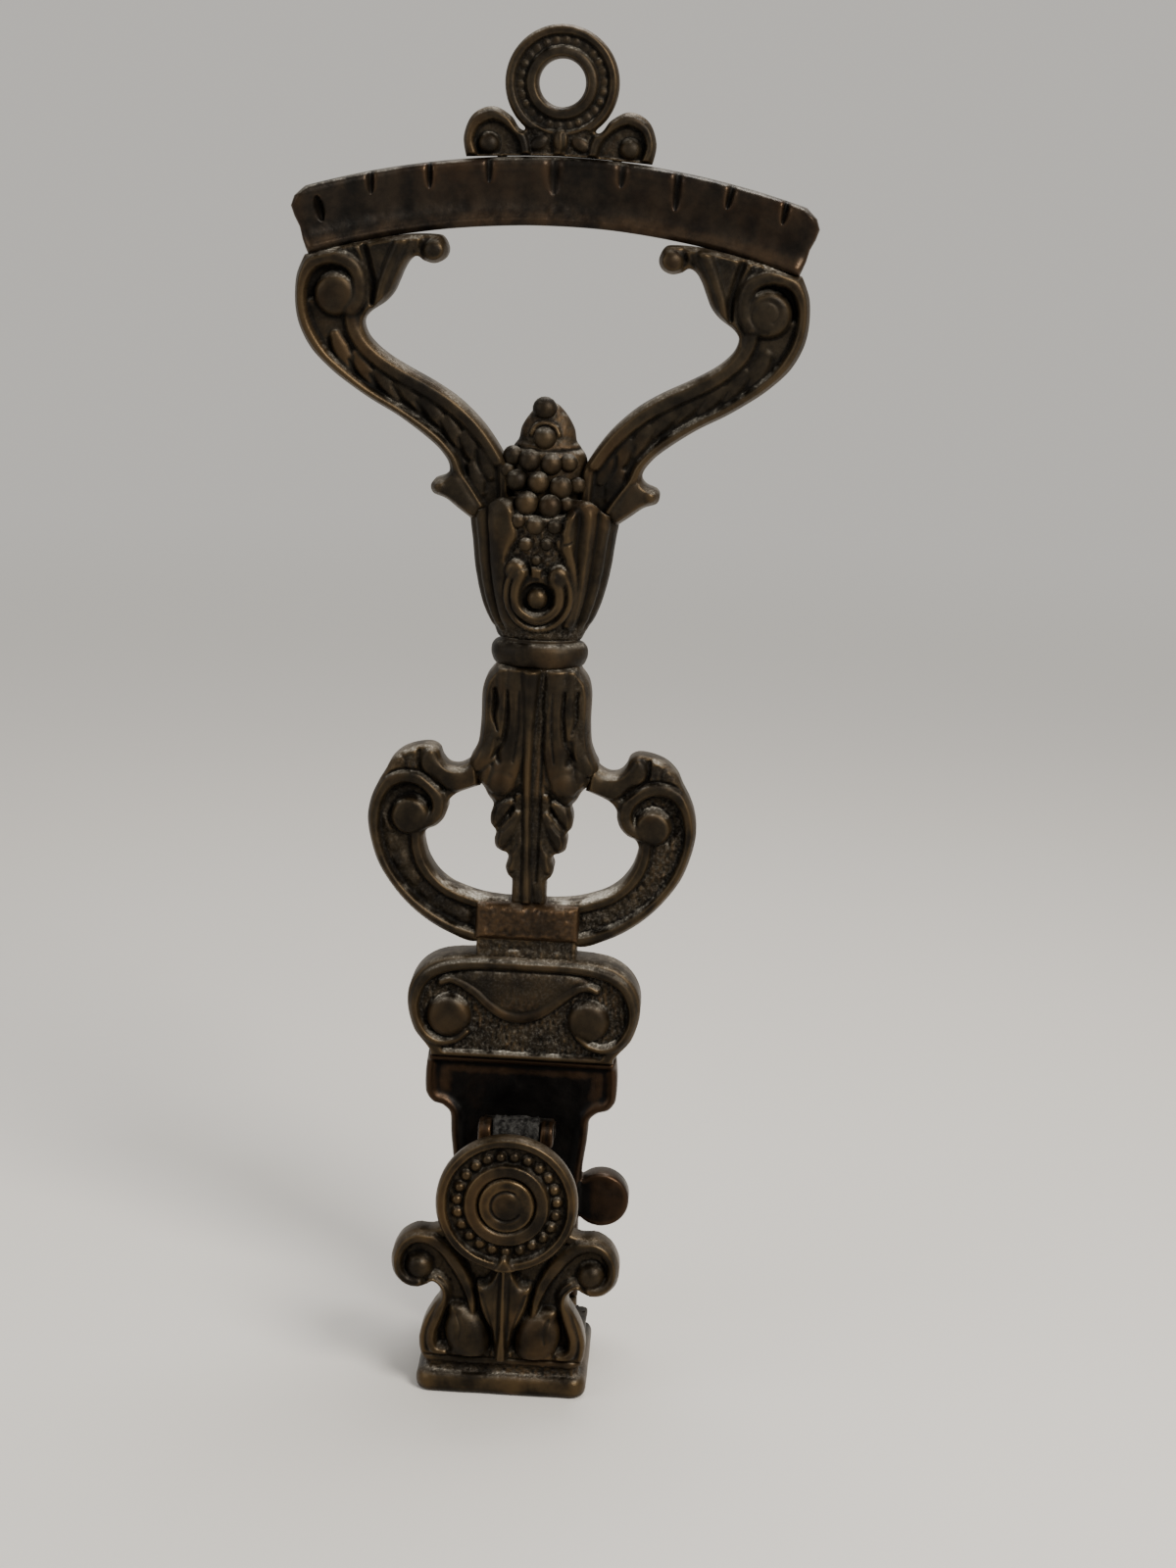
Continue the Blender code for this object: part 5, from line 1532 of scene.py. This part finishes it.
def foot_cheek():
    """The front cheek: two volutes, a spear blade and two pear-shaped leaves inside a ridged border."""
    made = Plate(region(symmetric(CHEEK)), (-31, 9), (31, 67), 0.27, 1.2)
    made.uneven(0.07, 6, 32)
    made.channel(2.2, 1.6, 1.0, 0.5, lambda p: soft(-p[:, 1], -44.0, -40.0))
    for side in (-1, 1):
        at = lambda *points: [(side * x, z) for x, z in points]
        # volute band, rolling in over its ball
        made.sunk(disc((side * 21.4, 34.0), 5.6), 0.4, 1.2, 0.1)
        band = at(
            (7.6, 21.0), (8.2, 25.6), (9.8, 30.2), (12.2, 34.6), (15.6, 38.8), (20.0, 41.2), (24.2, 40.6)
        )
        band += at((27.0, 37.2), (27.2, 32.8), (24.8, 29.6), (21.6, 29.0))
        made.rope(curve(band), 1.9, 2.1, -0.5, (0.45, 0.8, 1.0, 1.0, 1.0, 0.9, 0.75))
        made.dome((side * 21.6, 33.0), 3.5, 3.4, -1.6)
        # border that runs down to the sole
        made.rope(
            curve(
                at(
                    (18.2, 29.6), (15.6, 27.4), (15.2, 24.6), (16.4, 20.4), (17.8, 16.4), (17.9, 13.2),
                    (16.8, 11.3), (14.6, 10.7)
                )
            ),
            1.3, 1.8, -0.5
        )
        made.rope(curve(at((17.6, 25.2), (19.0, 19.8), (20.0, 15.0), (19.8, 10.6))), 0.9, 1.0, -0.6)
        # pear-shaped leaf with its fold, and the hollow beside it
        made.sunk(
            region(at((13.2, 22.8), (14.8, 20.2), (16.2, 14.6), (15.4, 12.2), (13.4, 12.8))), 0.9, 1.0, 0.05
        )
        pear = at(
            (13.8, 23.2), (11.8, 24.2), (9.2, 23.4), (6.8, 21.4), (4.5, 19.0), (3.3, 16.2), (3.7, 13.4),
            (5.0, 10.7)
        )
        pear += at((7.4, 9.4), (12.6, 9.2), (13.6, 12.2), (13.8, 18.0))
        made.pillow(region(pear), 3.0, 2.6, -1.6)
        made.dome((side * 8.8, 15.8), 5.5, 4.1, -1.0, 1.36, -side * 20)
        made.cut(curve(at((11.6, 21.6), (10.4, 18.4), (10.8, 15.4))), 0.5, 0.5, taper=(0.4, 1.1, 0.4))
        made.dome((side * 1.7, 11.2), 1.3, 1.2, 0.1)
    blade = [
        (0, 37.4), (2.3, 33.0), (4.4, 30.0), (6.8, 29.9), (6.5, 27.2), (5.6, 23.2), (4.1, 19.8), (2.5, 16.8),
        (1.5, 10.2), (0, 9.8)
    ]
    made.pillow(region(symmetric(blade)), 2.2, 2.8, 0.4)
    made.rope(curve([(-0.2, 36.0), (-0.1, 28.0), (0, 18.0), (0, 10.2)]), 0.75, 1.3, 2.3, (0.6, 0.9, 1.0, 1.9))
    for side in (-1, 1):
        made.cut(curve([(side * 1.2, 33.4), (side * 1.3, 26.0), (side * 1.2, 16.0)]), 0.3, 0.5)
        made.cut(curve([(side * 5.4, 27.6), (side * 3.6, 22.0), (side * 2.6, 17.6)]), 0.28, 0.45)
    made.tooled(0.35, 0.9, 33)
    made.build("cheek", CHEEK_FRONT, CHEEK_BACK, "foot", "dark_bronze", ["foot_cheek"], look="foot")


def rosette():
    """The medallion: rim, beads, ring and centre boss."""
    centre = (0.0, ROSETTE_Z)
    made = Plate(disc(centre, 17.7), (-18.5, ROSETTE_Z - 18.5), (18.5, ROSETTE_Z + 18.5), 0.25, 0.9)
    made.uneven(0.07, 7, 34)
    r = np.hypot(made.p[:, 0], made.p[:, 1] - ROSETTE_Z)
    groove = soft(r, 10.4, 11.0) * soft(-r, -15.6, -14.9)
    made.h -= 1.3 * groove
    made.grain += 0.6 * groove
    made.rope(arc(centre, 16.4, 0, 360, 90), 1.4, 0.75, 0.1, square=2.6)
    made.rope(arc(centre, 9.0, 0, 360, 80), 1.75, 1.3, -0.1, square=2.6)
    made.h -= 0.5 * soft(-r, -7.4, -6.9)
    draw = np.random.default_rng(37)
    for k in range(23):
        turn = math.radians(360 / 23 * k + 5)
        proud = draw.uniform(1.2, 1.7)
        made.dome(
            (12.4 * math.cos(turn), ROSETTE_Z + 12.4 * math.sin(turn)), 1.5, proud, -1.2, 0.95,
            math.degrees(turn)
        )
    tip = [
        (0, ROSETTE_Z - 13.2), (1.7, ROSETTE_Z - 15.2), (2.9, ROSETTE_Z - 17.0), (3.6, ROSETTE_Z - 19.0),
        (0, ROSETTE_Z - 19.0)
    ]
    made.pillow(region(symmetric(tip)), 1.5, 1.5, 0.6)
    made.tooled(0.32, 0.9, 35)
    low, high = node_box("rosette")
    made.build("medallion", low[1] + 1.0, high[1], "foot", "dark_bronze", ["rosette"], look="foot")
    boss = Plate(disc(centre, 7.0), (-7.6, ROSETTE_Z - 7.6), (7.6, ROSETTE_Z + 7.6), 0.24, 0.9)
    boss.uneven(0.06, 4, 36)
    rr = np.hypot(boss.p[:, 0], boss.p[:, 1] - ROSETTE_Z)
    boss.h += 0.4 * np.clip(1 - (rr / 6.5) ** 2, 0, 1) - 0.25 * soft(-rr, -4.3, -3.7)
    boss.dome(centre, 3.6, 0.8, -0.2)
    boss.cut(arc(centre, 3.9, 60, 330, 40), 0.3, 0.5)
    boss.rub_and_highlight += 0.5
    rivet = node_box("rosette_rivet")
    boss.build(
        "centre_boss", rivet[0][1] + 0.7, CHEEK_FRONT + 1, "foot", "worn_bronze", ["rosette_rivet"],
        look="foot"
    )


# ---------------------------------------------------------------- CAD pieces that keep their own solids


def dress_cad():
    """Materials for the pieces that stay as their own solids: pins, rivets, dowels and the rod."""
    for name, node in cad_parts.items():
        node.data.materials.clear()
        node.data.materials.append(
            LOOKS["pin" if any(word in name for word in ("pin", "rivet", "dowel", "rod")) else "bronze"]
        )


# ---------------------------------------------------------------- studio


def studio():
    """A pale floor that melts into the pale world, and three soft lamps."""
    sides = 96
    radii = (0.5, 1.2, 2.5, 6.0, 15.0, 40.0)  # metres
    turn = np.linspace(0, 2 * math.pi, sides, endpoint=False)
    points = [(r * math.cos(a), r * math.sin(a), 0.0) for r in radii for a in turn] + [(0.0, 0.0, 0.0)]
    faces = [(len(points) - 1, k, (k + 1) % sides) for k in range(sides)]
    for ring in range(len(radii) - 1):
        for k in range(sides):
            a, b = ring * sides + k, ring * sides + (k + 1) % sides
            faces.append((a, a + sides, b + sides, b))
    mesh = bpy.data.meshes.new("studio_floor")
    mesh.from_pydata(points, [], faces)
    mesh.materials.append(floor_look())
    floor = bpy.data.objects.new("studio_floor", mesh)
    bpy.context.scene.collection.objects.link(floor)
    world = bpy.data.worlds.new("studio")
    bpy.context.scene.world = world
    world.use_nodes = True
    back = world.node_tree.nodes["Background"]
    back.inputs["Color"].default_value = (*PALE, 1)
    back.inputs["Strength"].default_value = 1.0
    light("window", (0.55, -0.62, 0.75), (0, 0, 0.17), 0.45, 17.0, (1.0, 0.95, 0.87))
    light("fill", (-0.8, -0.5, 0.45), (0, 0, 0.17), 0.7, 3.0, (0.93, 0.96, 1.0))
    light("top", (0.1, 0.35, 0.95), (0, 0, 0.2), 0.5, 6.0, (1.0, 0.98, 0.96))


def light(name, place, target, size, power, colour):
    lamp = bpy.data.lights.new(name, "AREA")
    lamp.shape = "DISK"
    lamp.size = size
    lamp.energy = power
    lamp.color = colour
    thing = bpy.data.objects.new(name, lamp)
    bpy.context.scene.collection.objects.link(thing)
    thing.location = place
    thing.rotation_euler = (Vector(target) - Vector(place)).to_track_quat("-Z", "Y").to_euler()


def camera():
    """A standing viewer's look: a little above, a little from the right, the tool tilted in the picture."""
    elevation, azimuth, roll = math.radians(13.0), math.radians(2.0), math.radians(2.6)
    distance = 0.75  # metres
    target = Vector((0.0138, HANDLE_Y * MM, 0.14926))
    level = math.cos(elevation)
    back = Vector((math.sin(azimuth) * level, -math.cos(azimuth) * level, math.sin(elevation)))
    lens = bpy.data.cameras.new("camera")
    lens.sensor_fit = "VERTICAL"
    lens.sensor_height = 36
    lens.lens = 67.5
    thing = bpy.data.objects.new("camera", lens)
    bpy.context.scene.collection.objects.link(thing)
    turn = (-back).to_track_quat("-Z", "Y").to_matrix().to_4x4()
    thing.matrix_world = Matrix.Translation(target + back * distance) @ turn @ Matrix.Rotation(roll, 4, "Z")
    bpy.context.scene.camera = thing


def build():
    hanging_ring()
    grip_bar()
    for side in (-1, 1):
        arm(side)
        c_scroll(side)
    vase()
    finial()
    collar()
    leaf_stem()
    clasp_and_neck()
    ionic_capital()
    shank_plate()
    clevis_painted_shade()
    worm()
    foot_sole()
    foot_cheek()
    rosette()
    dress_cad()


studio()
camera()
build()
